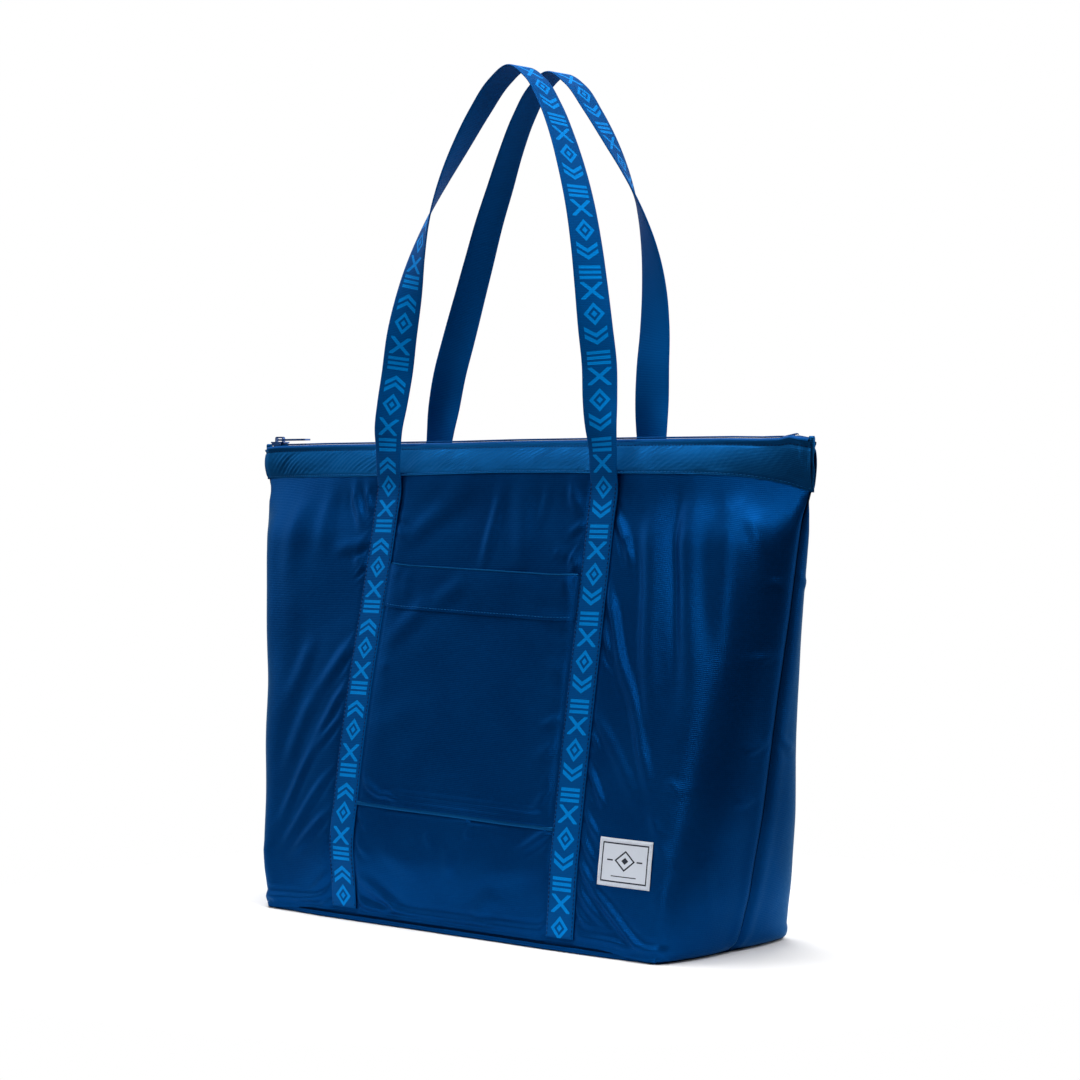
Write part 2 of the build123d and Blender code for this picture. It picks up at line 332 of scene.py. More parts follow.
def wall_shape(side):
    """A wall with its two half gussets, before the cloth settles, as rows of points."""
    heights = np.linspace(WALL_FOOT, SEAM_Z, ROWS)
    rows = np.zeros((ROWS, COLUMNS, 3))
    panel = np.linspace(-PANEL_X, PANEL_X, PANEL_COLUMNS + 1)
    for j, z in enumerate(heights):
        sag = 1 - smooth(z, WALL_FOOT, 36)
        side_z = z - sag * foot_drop(PANEL_X)
        reach = float(gusset_reach(side_z))
        left, left_y = gusset_arc(reach, -wall_y(-PANEL_X, side_z))
        right, right_y = gusset_arc(reach, -wall_y(PANEL_X, side_z))
        x_row = np.concatenate([-PANEL_X - left[:0:-1], panel, PANEL_X + right[1:]])
        z_row = z - sag * foot_drop(x_row)
        rows[j, :, 0] = x_row
        panel_y = wall_y(panel, z_row[GUSSET_COLUMNS:-GUSSET_COLUMNS])
        rows[j, :, 1] = np.concatenate([left_y[:0:-1], panel_y, right_y[1:]])
        rows[j, :, 2] = z_row
    lift = smooth(rows[:, :, 2], 286, SEAM_Z)
    rows[:, :, 1] += lift * (seam_y(rows[:, :, 0]) - rows[:, :, 1])
    rows[:, :, 2] += lift * (seam_z(side * rows[:, :, 0]) - SEAM_Z)
    return rows


def flat_place(rows):
    """Position on the flat cloth: across from the middle of the row, and up from its foot."""
    steps = np.linalg.norm(np.diff(rows, axis=1), axis=2)
    across = np.concatenate([np.zeros((rows.shape[0], 1)), np.cumsum(steps, axis=1)], axis=1)
    across -= across[:, rows.shape[1] // 2][:, None]
    climbs = np.linalg.norm(np.diff(rows, axis=0), axis=2)
    up = np.concatenate([np.zeros((1, rows.shape[1])), np.cumsum(climbs, axis=0)], axis=0)
    up += rows[0, rows.shape[1] // 2, 2]
    return across, up


def grid_normals(rows):
    """The outward direction at each point of a sheet, from the lines between its neighbours."""
    normals = np.cross(np.gradient(rows, axis=1), np.gradient(rows, axis=0))
    return normals / np.maximum(np.linalg.norm(normals, axis=2, keepdims=True), 1e-9)


def ripple(across, up, pitch, seed):
    """A smooth random relief of about this pitch, mostly between -1 and 1."""
    waves = 9
    random = np.random.RandomState(seed)
    total = np.zeros_like(across)
    for _ in range(waves):
        angle = random.uniform(0, np.pi)
        length = pitch * random.uniform(0.7, 1.6)
        phase = random.uniform(0, 2 * np.pi)
        total += np.sin(
            (across * np.cos(angle) + up * np.sin(angle)) * 2 * np.pi / length + phase
        )
    return total / math.sqrt(waves)


def strokes(across, up, table, seed):
    """Folds pressed into the cloth, each from one point to another with a width and
    a height. A fold is a ridge with a shallow valley on both sides, and it fades at its ends."""
    wander_x = ripple(across, up, 90.0, seed) * 1.0
    wander_z = ripple(across, up, 90.0, seed + 1) * 1.0
    total = np.zeros_like(across)
    for x0, z0, x1, z1, width, height in table:
        run = np.array([x1 - x0, z1 - z0])
        length = float(np.hypot(*run))
        run = run / length
        dx = across + wander_x - x0
        dz = up + wander_z - z0
        along = (dx * run[0] + dz * run[1]) / length
        off = (dx * run[1] - dz * run[0]) / width
        fade = smooth(along, -0.04, 0.28) * (1 - smooth(along, 0.55, 1.04))
        total += height * fade * (1 - 0.9 * off**2) * np.exp(-(off**2) / 1.1)
    return total


def spring_sets(rows, columns):
    """Pairs of net points joined by springs, in groups where no point comes twice."""
    index = np.arange(rows * columns).reshape(rows, columns)
    sets = []
    kinds = (
        (0, 1, 1.0), (1, 0, 1.0), (1, 1, 0.25), (1, -1, 0.25),
        (0, 2, BEND_SPRING), (2, 0, BEND_SPRING),
    )
    for dj, di, strength in kinds:
        j, i = np.meshgrid(np.arange(rows), np.arange(columns), indexing="ij")
        inside = (j + dj < rows) & (i + di < columns) & (i + di >= 0)
        step = dj if dj else di
        counter = (j if dj else i) // step % 2
        for group in (0, 1):
            chosen = inside & (counter == group)
            first = index[chosen]
            sets.append((first, first + dj * columns + di, strength))
    return sets


def run_along(path):
    """The distance along a path at each of its points."""
    return np.concatenate([[0], np.cumsum(np.linalg.norm(np.diff(path, axis=0), axis=1))])


def mesh_object(name, points, faces, materials, flat=None):
    """A smooth object through points in millimetres. flat is the place of each point on the flat
    cloth, kept for the materials."""
    mesh = bpy.data.meshes.new(name)
    mesh.from_pydata((points.reshape(-1, 3) * MM).tolist(), [], faces)
    mesh.update()
    if flat is not None:
        layer = mesh.uv_layers.new(name="cloth")
        corners = np.empty(len(mesh.loops), dtype=np.int32)
        mesh.loops.foreach_get("vertex_index", corners)
        layer.data.foreach_set("uv", flat.reshape(-1, 2)[corners].astype(np.float32).reshape(-1))
    mesh.polygons.foreach_set("use_smooth", [True] * len(mesh.polygons))
    for material in materials:
        mesh.materials.append(material)
    piece = bpy.data.objects.new(name, mesh)
    bpy.context.collection.objects.link(piece)
    return piece


def sheet_mesh(name, rows, normals, place, material, thick=CLOTH, side=1, inside=None):
    """A thin closed piece of cloth: the outer rows, the same rows thick further in, and the edge
    between them. place is the position on the flat cloth, and inside the inner face's material."""
    turn = np.array([side, side, 1.0])
    count_j, count_i = rows.shape[:2]
    outer = rows * turn
    facing = normals * turn
    inner = outer - facing * thick
    points = np.concatenate([outer.reshape(-1, 3), inner.reshape(-1, 3)])
    index = np.arange(count_j * count_i).reshape(count_j, count_i)
    a, b = index[:-1, :-1], index[:-1, 1:]
    c, d = index[1:, 1:], index[1:, :-1]
    front = np.stack([a, b, c, d], axis=-1).reshape(-1, 4)
    shift = count_j * count_i
    behind = front[:, ::-1] + shift
    ring = np.concatenate([index[0, :], index[1:, -1], index[-1, -2::-1], index[-2:0:-1, 0]])
    after = np.roll(ring, -1)
    edge = np.stack([ring, ring + shift, after + shift, after], axis=-1)
    faces = np.concatenate([front, behind, edge])
    flat = np.stack([place[0].reshape(-1), place[1].reshape(-1)], axis=1)
    materials = (material,) if inside is None else (material, inside)
    piece = mesh_object(name, points, faces.tolist(), materials, np.concatenate([flat, flat]))
    if inside is not None:
        slots = np.zeros(len(faces), dtype=np.int32)
        slots[len(front) : len(front) + len(behind)] = 1
        piece.data.polygons.foreach_set("material_index", slots)
    both = np.concatenate([facing.reshape(-1, 3), -facing.reshape(-1, 3)])
    piece.data.normals_split_custom_set_from_vertices(both.tolist())
    return piece


# folds on the flat cloth: from x, z to x, z, then the width and the height
FRONT_FOLDS = (
    # left of the left strap: short bright folds under the band, then long soft diagonals
    (-154, 333, -122, 292, 5.0, 2.8), (-136, 328, -120, 305, 4.2, 2.5),
    (-119, 286, -162, 281, 6.0, 1.7), (-119, 262, -136, 281, 3.8, 1.8),
    (-176, 332, -168, 268, 10.0, 1.3), (-206, 330, -204, 250, 12.0, 1.3),
    (-121, 214, -158, 165, 7.0, 1.5), (-152, 176, -190, 98, 8.0, 1.5),
    (-164, 216, -192, 148, 8.0, 1.3), (-122, 180, -152, 124, 5.0, 1.5),
    (-146, 134, -188, 58, 5.5, 1.7), (-124, 152, -150, 122, 4.2, 1.1),
    (-125, 112, -186, 38, 5.0, 1.5), (-124, 82, -168, 42, 4.6, 1.4),
    (-120, 20, -160, 10, 4.0, 1.1), (-119, 36, -148, 14, 4.0, 1.1),
    (-196, 60, -204, 12, 8.0, 1.4), (-244, 310, -220, 180, 12.0, 1.7),
    # between the straps, above the pocket
    (-8, 337, -92, 284, 8.5, 2.2), (-28, 336, -92, 315, 4.6, 1.1),
    (-93, 304, -76, 309, 3.8, 1.1), (-93, 292, -80, 296, 3.6, 0.9),
    (14, 334, -4, 262, 6.0, 1.4), (28, 337, 40, 262, 11.0, 1.7), (56, 328, 44, 294, 5.0, 0.9),
    (67, 337, 93, 303, 5.6, 2.5), (93, 300, 76, 296, 3.8, 1.1),
    (64, 283, 86, 277, 4.4, 1.2), (82, 281, 93, 262, 4.2, 2.0),
    # under the pocket
    (92, 86, 56, 62, 4.8, 1.4), (93, 62, 18, 46, 11.0, 1.0), (2, 66, 0, 42, 7.0, 1.0),
    (16, 80, 22, 72, 4.2, 0.9), (-24, 74, -12, 62, 5.0, 0.9), (-92, 80, -78, 72, 4.2, 1.0),
    (-92, 60, -74, 54, 4.4, 1.0), (-88, 36, -34, 6, 6.5, 1.4), (-90, 18, -72, 8, 4.4, 1.0),
    (-70, 66, -24, 40, 10.0, 1.0), (48, 36, 24, 12, 9.0, 0.9),
    # right of the right strap: broad pleats hang from the seam
    (148, 340, 172, 128, 13.0, 2.9), (180, 340, 206, 160, 12.0, 2.6),
    (166, 338, 196, 150, 7.0, -1.6), (140, 312, 162, 150, 7.0, -1.4),
    (216, 340, 226, 190, 12.0, 2.0), (131, 334, 144, 312, 6.0, 1.5),
    # and tight diagonals run out of the strap's stitches
    (119, 309, 133, 288, 4.4, 2.2), (128, 300, 138, 272, 4.0, 2.0),
    (119, 262, 149, 176, 5.3, 2.8), (141, 205, 184, 102, 5.7, 2.5), (178, 114, 196, 60, 4.2, 1.8),
    (119, 230, 132, 202, 3.7, 1.4), (119, 170, 176, 100, 6.0, 1.4), (119, 154, 126, 143, 3.6, 1.3),
    (119, 130, 140, 100, 4.0, 2.0), (119, 100, 142, 76, 3.7, 1.7), (119, 82, 140, 60, 3.7, 1.4),
    (119, 66, 146, 38, 3.7, 1.8), (134, 48, 188, 3, 3.9, 2.4), (119, 48, 144, 24, 3.6, 1.3),
    (119, 34, 134, 20, 3.6, 1.1), (188, 60, 206, 10, 8.3, 0.8),
    (190, 130, 202, 118, 4.6, 1.3),
    # the crumpled corner under the band's end, and short creases along the side seam
    (230, 322, 250, 280, 6.0, 1.5), (214, 328, 244, 296, 5.0, 1.8), (200, 330, 226, 306, 4.6, 1.4),
    (246, 316, 262, 300, 5.0, 0.8), (238, 214, 262, 222, 4.6, 1.3), (242, 150, 264, 160, 4.6, 1.3),
    (236, 120, 258, 118, 4.4, 1.1), (250, 270, 262, 262, 4.0, 1.3), (214, 90, 232, 24, 7.0, 1.3),
)
# the back has every second fold of the front, mirrored and softer, and some of its own
BACK_FOLDS = tuple(
    (-x0, z0, -x1, z1, width * 1.05, height * 0.9)
    for x0, z0, x1, z1, width, height in FRONT_FOLDS[::2]
) + (
    (118, 240, 196, 96, 7.0, 1.7), (-119, 180, -176, 44, 6.0, 1.8), (60, 300, -40, 180, 9.0, 1.8),
    (-93, 250, 20, 160, 9.0, 1.6), (93, 200, -10, 90, 9.0, 1.7), (-93, 120, 30, 40, 8.0, 1.5),
    (93, 310, 40, 250, 5.0, 1.5), (0, 332, -12, 230, 7.0, 1.8), (-52, 332, -60, 240, 6.0, 1.7),
)


def pocket_slope(x):
    """The pocket is sewn on a little askew: its lines fall to the right."""
    return 1.0 - 0.0265 * (x + POCKET_X)


def under_strap(across):
    return np.abs(np.abs(across) - STRAP_X) <= STRAP_HALF


def wall_sheet(side, folds, seed):
    """The settled front or back wall, with the place of each point on the flat cloth."""
    rows = wall_shape(side)
    across, up = flat_place(rows)
    z = rows[:, :, 2]
    # sewn down round the edges and under the straps
    held = np.zeros(across.shape)
    held[[0, -1], :] = 1
    held[:, [0, -1]] = 1
    held[under_strap(across)] = 1
    if side > 0:
        low_x, high_x, low_z, high_z = LABEL
        away = np.maximum(
            np.maximum(low_x - across, across - high_x), np.maximum(low_z - z, z - high_z)
        )
    relief = strokes(across, up, folds, seed)
    relief += 0.5 * ripple(across, up, 85.0, seed + 2)
    edge = np.minimum(smooth(up, WALL_FOOT, 18), 1 - smooth(up, 322, SEAM_Z) * 0.75)
    from_seam = np.abs(across[:, -1])[:, None] - np.abs(across)
    relief = relief * smooth(from_seam, 0, 14)
    # a soft ridge beside each side seam, and a lower one above the foot
    relief += 1.9 * np.exp(-(((from_seam - 5.0) / 4.0) ** 2)) * smooth(from_seam, 0, 4)
    relief += 0.9 * np.exp(-(((up - 11.0) / 5.0) ** 2))
    relief = relief * edge * (1 - held)
    if side > 0:
        # flat under the label
        relief = relief * smooth(away, -4.0, 9.0)
    along_wall = up - pocket_slope(across)
    behind_pocket = np.abs(across) < STRAP_X - STRAP_HALF
    behind_pocket &= (along_wall < POCKET_TOP + 2) & (along_wall > POCKET_FOOT)
    if side > 0:
        relief = np.where(behind_pocket, -np.abs(relief) * 0.5 - 0.6, relief)
    start = rows + grid_normals(rows) * relief[:, :, None]
    # most spare cloth is near the top, and none may come through the pocket
    slack = 0.0002 + 0.0010 * smooth(up, 270, 330)
    outer = np.where(behind_pocket, -0.2, 60.0) if side > 0 else None
    start = np.where(held[:, :, None] > 0, rows, start)
    return settle(start, held, slack, rounds=60, outer=outer), (across, up)


def settle(start, held, slack, rounds, outer=None, inner=None):
    """Lets the cloth take up its spare length from a start that has its folds pressed in. held is
    1 where the cloth is sewn down and slack is the spare share of its length. inner and outer
    limit how far out from the wall's plane a point may stand."""
    shape = start.shape
    rest = start.reshape(-1, 3)
    points = rest.copy()
    before = points.copy()
    free = (1.0 - held).reshape(-1, 1)
    spare = slack.reshape(-1)
    sets = []
    for first, second, strength in spring_sets(shape[0], shape[1]):
        length = np.linalg.norm(rest[second] - rest[first], axis=1)
        length = length * (1 + 0.5 * (spare[first] + spare[second]))
        weights = free[first, 0] + free[second, 0]
        keep = weights > 0
        first, second, length = first[keep], second[keep], length[keep]
        share_first = (free[first, 0] / weights[keep])[:, None] * strength
        share_second = (free[second, 0] / weights[keep])[:, None] * strength
        sets.append((first, second, length, share_first, share_second))
    air = grid_normals(start).reshape(-1, 3) * AIR_PUSH
    weight = np.array([0, 0, -CLOTH_WEIGHT])
    for _ in range(rounds):
        speed = (points - before) * KEPT_SPEED
        before = points.copy()
        points = points + (speed + air + weight) * free
        for first, second, length, share_first, share_second in sets:
            gap = points[second] - points[first]
            size = np.maximum(np.linalg.norm(gap, axis=1), 1e-6)
            fix = gap * ((size - length) / size)[:, None]
            points[first] += fix * share_first
            points[second] -= fix * share_second
        off = wall_y(points[:, 0], points[:, 2]) - points[:, 1]
        if outer is not None:
            points[:, 1] += np.maximum(off - outer.reshape(-1), 0) * free[:, 0]
        if inner is not None:
            points[:, 1] -= np.maximum(inner.reshape(-1) - off, 0) * free[:, 0]
    return points.reshape(shape)


front_rows, front_place = wall_sheet(1, FRONT_FOLDS, 11)
back_rows, back_place = wall_sheet(-1, BACK_FOLDS, 57)


def wall_pieces(side, rows, place):
    """The wall between its two half gussets, which bend from the wall to the side seams."""
    name = half_name(side)
    normals = grid_normals(rows)
    cut = GUSSET_COLUMNS
    spans = (
        ("left" if side > 0 else "right", 0, cut + 1),
        ("panel", cut, COLUMNS - cut),
        ("right" if side > 0 else "left", COLUMNS - cut - 1, COLUMNS),
    )
    for which, low, high in spans:
        part = slice(low, high)
        label = f"{name}_wall_cloth" if which == "panel" else f"{name}_gusset_cloth_{which}"
        piece = sheet_mesh(
            label, rows[:, part], normals[:, part], (place[0][:, part], place[1][:, part]),
            ripstop, side=side, inside=lining,
        )
        if which == "panel":
            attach(piece, f"{name}_wall")
            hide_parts(f"{name}_panel")
        else:
            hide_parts(f"{name}_gusset_{which}")
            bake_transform(piece)


wall_pieces(1, front_rows, front_place)
wall_pieces(-1, back_rows, back_place)


# ---------------------------------------------------------------- webbing
def webbing_material(name, ground, light, motif):
    """Woven tape: fine ribs across it, and on its face a raised generic motif in a lighter yarn."""
    made, tree, shader = new_material(
        name, Roughness=0.52, Metallic=0.25, Specular_IOR_Level=0.05,
        Specular_Tint=(0.15, 0.5, 1.0, 1.0),
    )
    place, across, along = cloth_position(tree)
    ribs = wave(tree, along, 1.25)
    warp = wave(tree, across, 0.9)
    twill = wave(tree, math_node(tree, "ADD", across, along), 1.5)
    yarn = noise(tree, place, 0.9, 2.0)
    tone = math_node(tree, "MULTIPLY_ADD", ribs, 0.10, math_node(tree, "MULTIPLY", yarn, 0.16))
    ground_colour = mixed_colour(tree, tone, ground, light)
    height = math_node(tree, "MULTIPLY_ADD", ribs, 0.6, math_node(tree, "MULTIPLY", warp, 0.3))
    if motif:
        inside = motif_mask(tree, across, along)
        worn = math_node(tree, "MULTIPLY_ADD", yarn, 0.45, 0.55)
        share = math_node(tree, "MULTIPLY", inside, worn)
        colour = mixed_colour(tree, share, ground_colour, MOTIF_COLOUR)
        height = math_node(tree, "MULTIPLY_ADD", inside, 1.3, height)
        height = math_node(tree, "MULTIPLY_ADD", twill, 0.3, height)
    else:
        colour = ground_colour
    tree.links.new(colour, shader.inputs["Base Color"])
    bump(tree, shader, height, 0.12 * MM)
    return made


def motif_mask(tree, across, along):
    """One repeat of a plain geometric weave: a lozenge, two chevrons, bars and a cross."""
    op = partial(math_node, tree)

    def less(value, limit):
        return op("LESS_THAN", value, limit)

    def both(first, second):
        return op("MULTIPLY", first, second)

    out = op("ABSOLUTE", across)
    v = op("MULTIPLY", op("FRACT", op("MULTIPLY", along, 1 / MOTIF_REPEAT)), MOTIF_REPEAT)
    band = less(out, 8.4)
    # lozenge ring round v = 9, 14 long
    lozenge = op(
        "ADD", op("MULTIPLY", out, 1 / 7.8),
        op("MULTIPLY", op("ABSOLUTE", op("SUBTRACT", v, 9.0)), 1 / 8.4),
    )
    ring = both(less(op("ABSOLUTE", op("SUBTRACT", lozenge, 0.80)), 0.20), band)
    heart = less(lozenge, 0.30)
    # two chevrons from v = 20 to 33
    bend_v = op("MULTIPLY_ADD", out, 0.62, op("SUBTRACT", v, 20.0))
    first = both(less(op("ABSOLUTE", op("SUBTRACT", bend_v, 4.6)), 1.55), band)
    second = both(less(op("ABSOLUTE", op("SUBTRACT", bend_v, 9.8)), 1.55), band)
    # three bars from v = 36 to 46
    bars_v = op("MODULO", op("SUBTRACT", v, 35.6), 3.8)
    bars = both(less(bars_v, 2.3), both(less(op("ABSOLUTE", op("SUBTRACT", v, 41.0)), 5.4), band))
    # a cross round v = 54
    cross_v = op("ABSOLUTE", op("SUBTRACT", v, 54.0))
    arms = op("ABSOLUTE", op("SUBTRACT", op("MULTIPLY", out, 0.85), cross_v))
    cross = both(less(arms, 1.7), both(less(cross_v, 6.4), band))
    total = ring
    for shape in (heart, first, second, bars, cross):
        total = op("MAXIMUM", total, shape)
    return total


webbing_face, webbing_back = (
    webbing_material(name, (0.0, 0.060, 0.235), (0.0, 0.118, 0.37), motif)
    for name, motif in (("webbing_face", True), ("webbing_back", False))
)

# half spread x, y, z, turn of the left leg and of the right leg, as in the CAD
FRONT_LEGS = (
    (106, -27.2, 334, 0, 0), (105.8, -27.6, 350, -3, 3), (104.8, -28.4, 366, -12, 14),
    (102.5, -26.6, 385, -21, 30), (99.8, -24, 408, -24, 40), (95.5, -23.4, 436, -20, 48),
    (90, -21.4, 465, -6, 58), (83.5, -19, 495, 18, 66), (74.5, -15.6, 525, 42, 72),
    (63.5, -11.4, 551, 62, 77), (50, -6.6, 577, 78, 84), (34.5, -2.4, 602, 87, 88),
    (18, 0.2, 622, 90, 90), (0, 1, 632, 90, 90),
)
BACK_LEGS = (
    (106, 27.2, 334, 0, 0), (105.8, 27.6, 350, 3, -3), (104.6, 28.8, 366, 12, -14),
    (103, 31.2, 385, 30, -25), (100.8, 34.8, 408, 42, -20), (97.2, 41.4, 436, 50, -8),
    (92, 47, 465, 60, 6), (84.5, 50.6, 495, 66, 24), (74.5, 51.6, 525, 72, 44),
    (63, 51.2, 551, 77, 63), (49.5, 48.6, 577, 84, 79), (34, 46, 602, 88, 87),
    (18, 45.2, 622, 90, 90), (0, 45, 632, 90, 90),
)


def through(stations, step):
    """Points every step along a smooth curve through the stations."""
    stations = np.array(stations, float)
    run = run_along(stations[:, :3])
    slopes = np.gradient(stations, run, axis=0)
    count = max(int(run[-1] / step), 2)
    wanted = np.linspace(0, run[-1], count + 1)
    k = np.clip(np.searchsorted(run, wanted, side="right") - 1, 0, len(run) - 2)
    h = (run[k + 1] - run[k])[:, None]
    t = ((wanted - run[k])[:, None]) / h
    first = (1 + 2 * t) * (1 - t) ** 2 * stations[k] + t * (1 - t) ** 2 * h * slopes[k]
    second = t * t * (3 - 2 * t) * stations[k + 1] + t * t * (t - 1) * h * slopes[k + 1]
    return first + second, wanted


def unit(vectors):
    return vectors / np.maximum(np.linalg.norm(vectors, axis=-1, keepdims=True), 1e-9)


def webbing_frames(side):
    """Centres, width and outward directions along one whole strap: up the wall, over as the
    carrying loop and down the wall again."""
    legs = FRONT_LEGS if side > 0 else BACK_LEGS
    way = -1 if side > 0 else 1
    offset = SEWN_GAP + STRAP_THICK / 2

    def sewn(x, turn):
        stations = []
        for z in (9, 30, 60, 90, 120, 180, 240, 300, 324):
            slope = (wall_y(side * x + 1.0, z) - wall_y(side * x - 1.0, z)) / 2
            y = side * (wall_y(side * x, z) - offset)
            stations.append((x, y, z, turn + math.degrees(math.atan(slope))))
        return stations

    left = sewn(-STRAP_X, 0) + [(-x, y, z, way * turn) for x, y, z, turn, _ in legs]
    right = sewn(STRAP_X, way * 180)
    right += [(x, y, z, way * (180 - turn)) for x, y, z, _, turn in legs[:-1]]
    path, run = through(left + right[::-1], 2.6)
    centre, turn = path[:, :3], np.radians(path[:, 3])
    tangent = unit(np.gradient(centre, axis=0))
    width = np.stack([np.cos(turn), np.sin(turn), np.zeros_like(turn)], axis=1)
    width = unit(width - tangent * np.sum(tangent * width, axis=1, keepdims=True))
    face = np.cross(tangent, width) * way
    return centre, width, face, run


def tube_faces(count, sides, copies=1, other_way=False):
    """The faces of closed tubes, each through count rings of sides points. other_way is for rings
    whose points go round the other way."""
    index = np.arange(count * sides).reshape(count, sides)
    after = np.roll(index, -1, axis=1)
    if other_way:
        quads = (index[:-1], index[1:], after[1:], after[:-1])
        ends = (index[0], index[-1, ::-1])
    else:
        quads = (index[:-1], after[:-1], after[1:], index[1:])
        ends = (index[0, ::-1], index[-1])
    faces = [*np.stack(quads, axis=-1).reshape(-1, 4), *ends]
    return [(face + count * sides * k).tolist() for k in range(copies) for face in faces]


def tube_mesh(name, rings, flat, materials, slots=None):
    """A closed tube through rings of points. slots gives each strip round it its material."""
    count, sides = rings.shape[:2]
    faces = tube_faces(count, sides)
    piece = mesh_object(name, rings, faces, materials, flat)
    if slots is not None:
        each = np.tile(slots, count - 1).astype(np.int32)
        each = np.concatenate([each, np.zeros(len(faces) - len(each), dtype=np.int32)])
        piece.data.polygons.foreach_set("material_index", each)
    return piece


def webbing_section():
    """The tape's outline, as offsets across and out: flat faces and thin rounded edges."""
    across = np.array([-12.1, -11.0, -7.5, -4.0, 0.0, 4.0, 7.5, 11.0, 12.1])
    out = np.array([0.45, 0.66, 0.70, 0.70, 0.70, 0.70, 0.70, 0.66, 0.45])
    edge = np.array([[12.5, 0.0]])
    top = np.stack([across, out], axis=1)
    return np.concatenate([top, edge, top[::-1] * [1, -1], -edge])


def webbing_piece(side):
    name = half_name(side)
    centre, width, face, run = webbing_frames(side)
    outline = webbing_section()
    rings = (
        centre[:, None, :]
        + width[:, None, :] * outline[None, :, 0, None]
        + face[:, None, :] * outline[None, :, 1, None]
    )
    flat = np.empty(rings.shape[:2] + (2,))
    flat[:, :, 0] = outline[:, 0]
    flat[:, :, 1] = run[:, None]
    around = np.arange(len(outline))
    plain = ((around >= 9) & (around < len(outline) - 1)).astype(np.int32)
    if side > 0:
        rings, flat, plain = rings[:, ::-1], flat[:, ::-1], np.roll(plain[::-1], -1)
    piece = tube_mesh(f"{name}_webbing", rings, flat, (webbing_face, webbing_back), plain)
    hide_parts(f"{name}_strap_left", f"{name}_strap_right", f"{name}_handle_loop")
    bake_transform(piece)
    return piece


webbing_piece(1)
webbing_piece(-1)


# ---------------------------------------------------------------- stitches
# near-black thread: dark stitches, and along the straps' edges also painted shade for the shadow
# and puckers there
thread_dark_and_shade = new_material(
    "thread_dark_and_shade", Base_Color=(0.0, 0.016, 0.075, 1), Roughness=0.6, Specular_IOR_Level=0.1
)[0]
thread_light = new_material(
    "thread_light", Base_Color=(0.001, 0.11, 0.36, 1), Roughness=0.5, Specular_IOR_Level=0.1
)[0]
thread_white = new_material("thread_white", Base_Color=(0.68, 0.72, 0.80, 1), Roughness=0.6)[0]


def stitch_run(name, path, facing, material, length, pitch, radius):
    """A row of stitches along a path, each a short rounded thread that lies on the surface."""
    path, facing = np.array(path, float), np.array(facing, float)
    run = run_along(path)
    middles = np.arange(pitch / 2, run[-1], pitch)

    def at(values, where):
        return np.stack([np.interp(where, run, values[:, k]) for k in range(3)], axis=1)

    centre = at(path, middles)
    tangent = unit(at(path, middles + 0.5) - at(path, middles - 0.5))
    out = at(facing, middles)
    out = unit(out - tangent * np.sum(out * tangent, axis=1, keepdims=True))
    across = np.cross(tangent, out)
    share = np.array([-0.5, -0.42, -0.15, 0.15, 0.42, 0.5])
    swell = np.array([0.25, 0.75, 1.0, 1.0, 0.75, 0.25])
    angle = np.arange(6) * np.pi / 3
    ring = np.stack([np.cos(angle), np.sin(angle)], axis=1)
    faces = tube_faces(len(share), len(ring), len(middles))
    points = (
        centre[:, None, None, :]
        + tangent[:, None, None, :] * (share * length)[None, :, None, None]
        + across[:, None, None, :] * (swell[:, None] * ring[:, 0] * radius)[None, :, :, None]
        + out[:, None, None, :] * (swell[:, None] * ring[:, 1] * radius)[None, :, :, None]
    )
    return mesh_object(name, points, faces, (material,))


def turned(values, side):
    """From a half's own frame to the row frame."""
    return np.asarray(values, float) * np.array([side, side, 1.0])


OUTWARD = np.array([0.0, -1.0, WALL_LEAN]) / math.hypot(1, WALL_LEAN)


def wall_stitches(name, side, x, z, lift, *sizes):
    """A row of dark stitches through these places on the wall, this far out from it; along the
    straps' edges their near-black thread also paints the shade of the edge's shadow and puckers.
    """
    path = np.stack([x, wall_y(x, z), z], axis=1) + OUTWARD * lift
    facing = np.tile(turned(OUTWARD, side), (len(path), 1))
    piece = stitch_run(name, turned(path, side), facing, thread_dark_and_shade, *sizes)
    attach(piece, f"{half_name(side)}_wall")


def strap_stitches(side):
    """A row along each edge of the straps, and a short one across their heads."""
    name = half_name(side)
    lift = SEWN_GAP + STRAP_THICK
    z = np.linspace(10, 331, 200)
    for which, x in (("left", -STRAP_X), ("right", STRAP_X)):
        for edge in (-1, 1):
            label = f"{name}_strap_stitches_{which}_{'inner' if edge * x < 0 else 'outer'}"
            line = np.full_like(z, x + edge * 11.2)
            wall_stitches(label, side, line, z, lift, 2.1, STITCH_PITCH, 0.38)
        line = np.linspace(x - 11.5, x + 11.5, 12)
        head = np.full_like(line, 329.0)
        wall_stitches(
            f"{name}_strap_tack_{which}", side, line, head, lift + 0.05, 2.6, 2.7, 0.45
        )


strap_stitches(1)
strap_stitches(-1)


# ---------------------------------------------------------------- top band and zip
def zip_rise(x):
    """How far the zip line stands above its nominal height: it is slack, so it waves a little."""
    places = (-268, -250, -200, -60, 0, 120, 200, 226, 244, 253, 262, 268)
    rises = (-1.6, -0.4, 0.0, 0.1, 0.7, 0.8, 0.6, 0.1, 0.3, 1.9, 0.4, -1.0)
    return np.interp(x, places, rises)


def zip_half_width(x):
    """How far the band's upper edge stands from the middle of the zip."""
    return ZIP_HALF - 3.6 * smooth(np.abs(x), 260, 268)


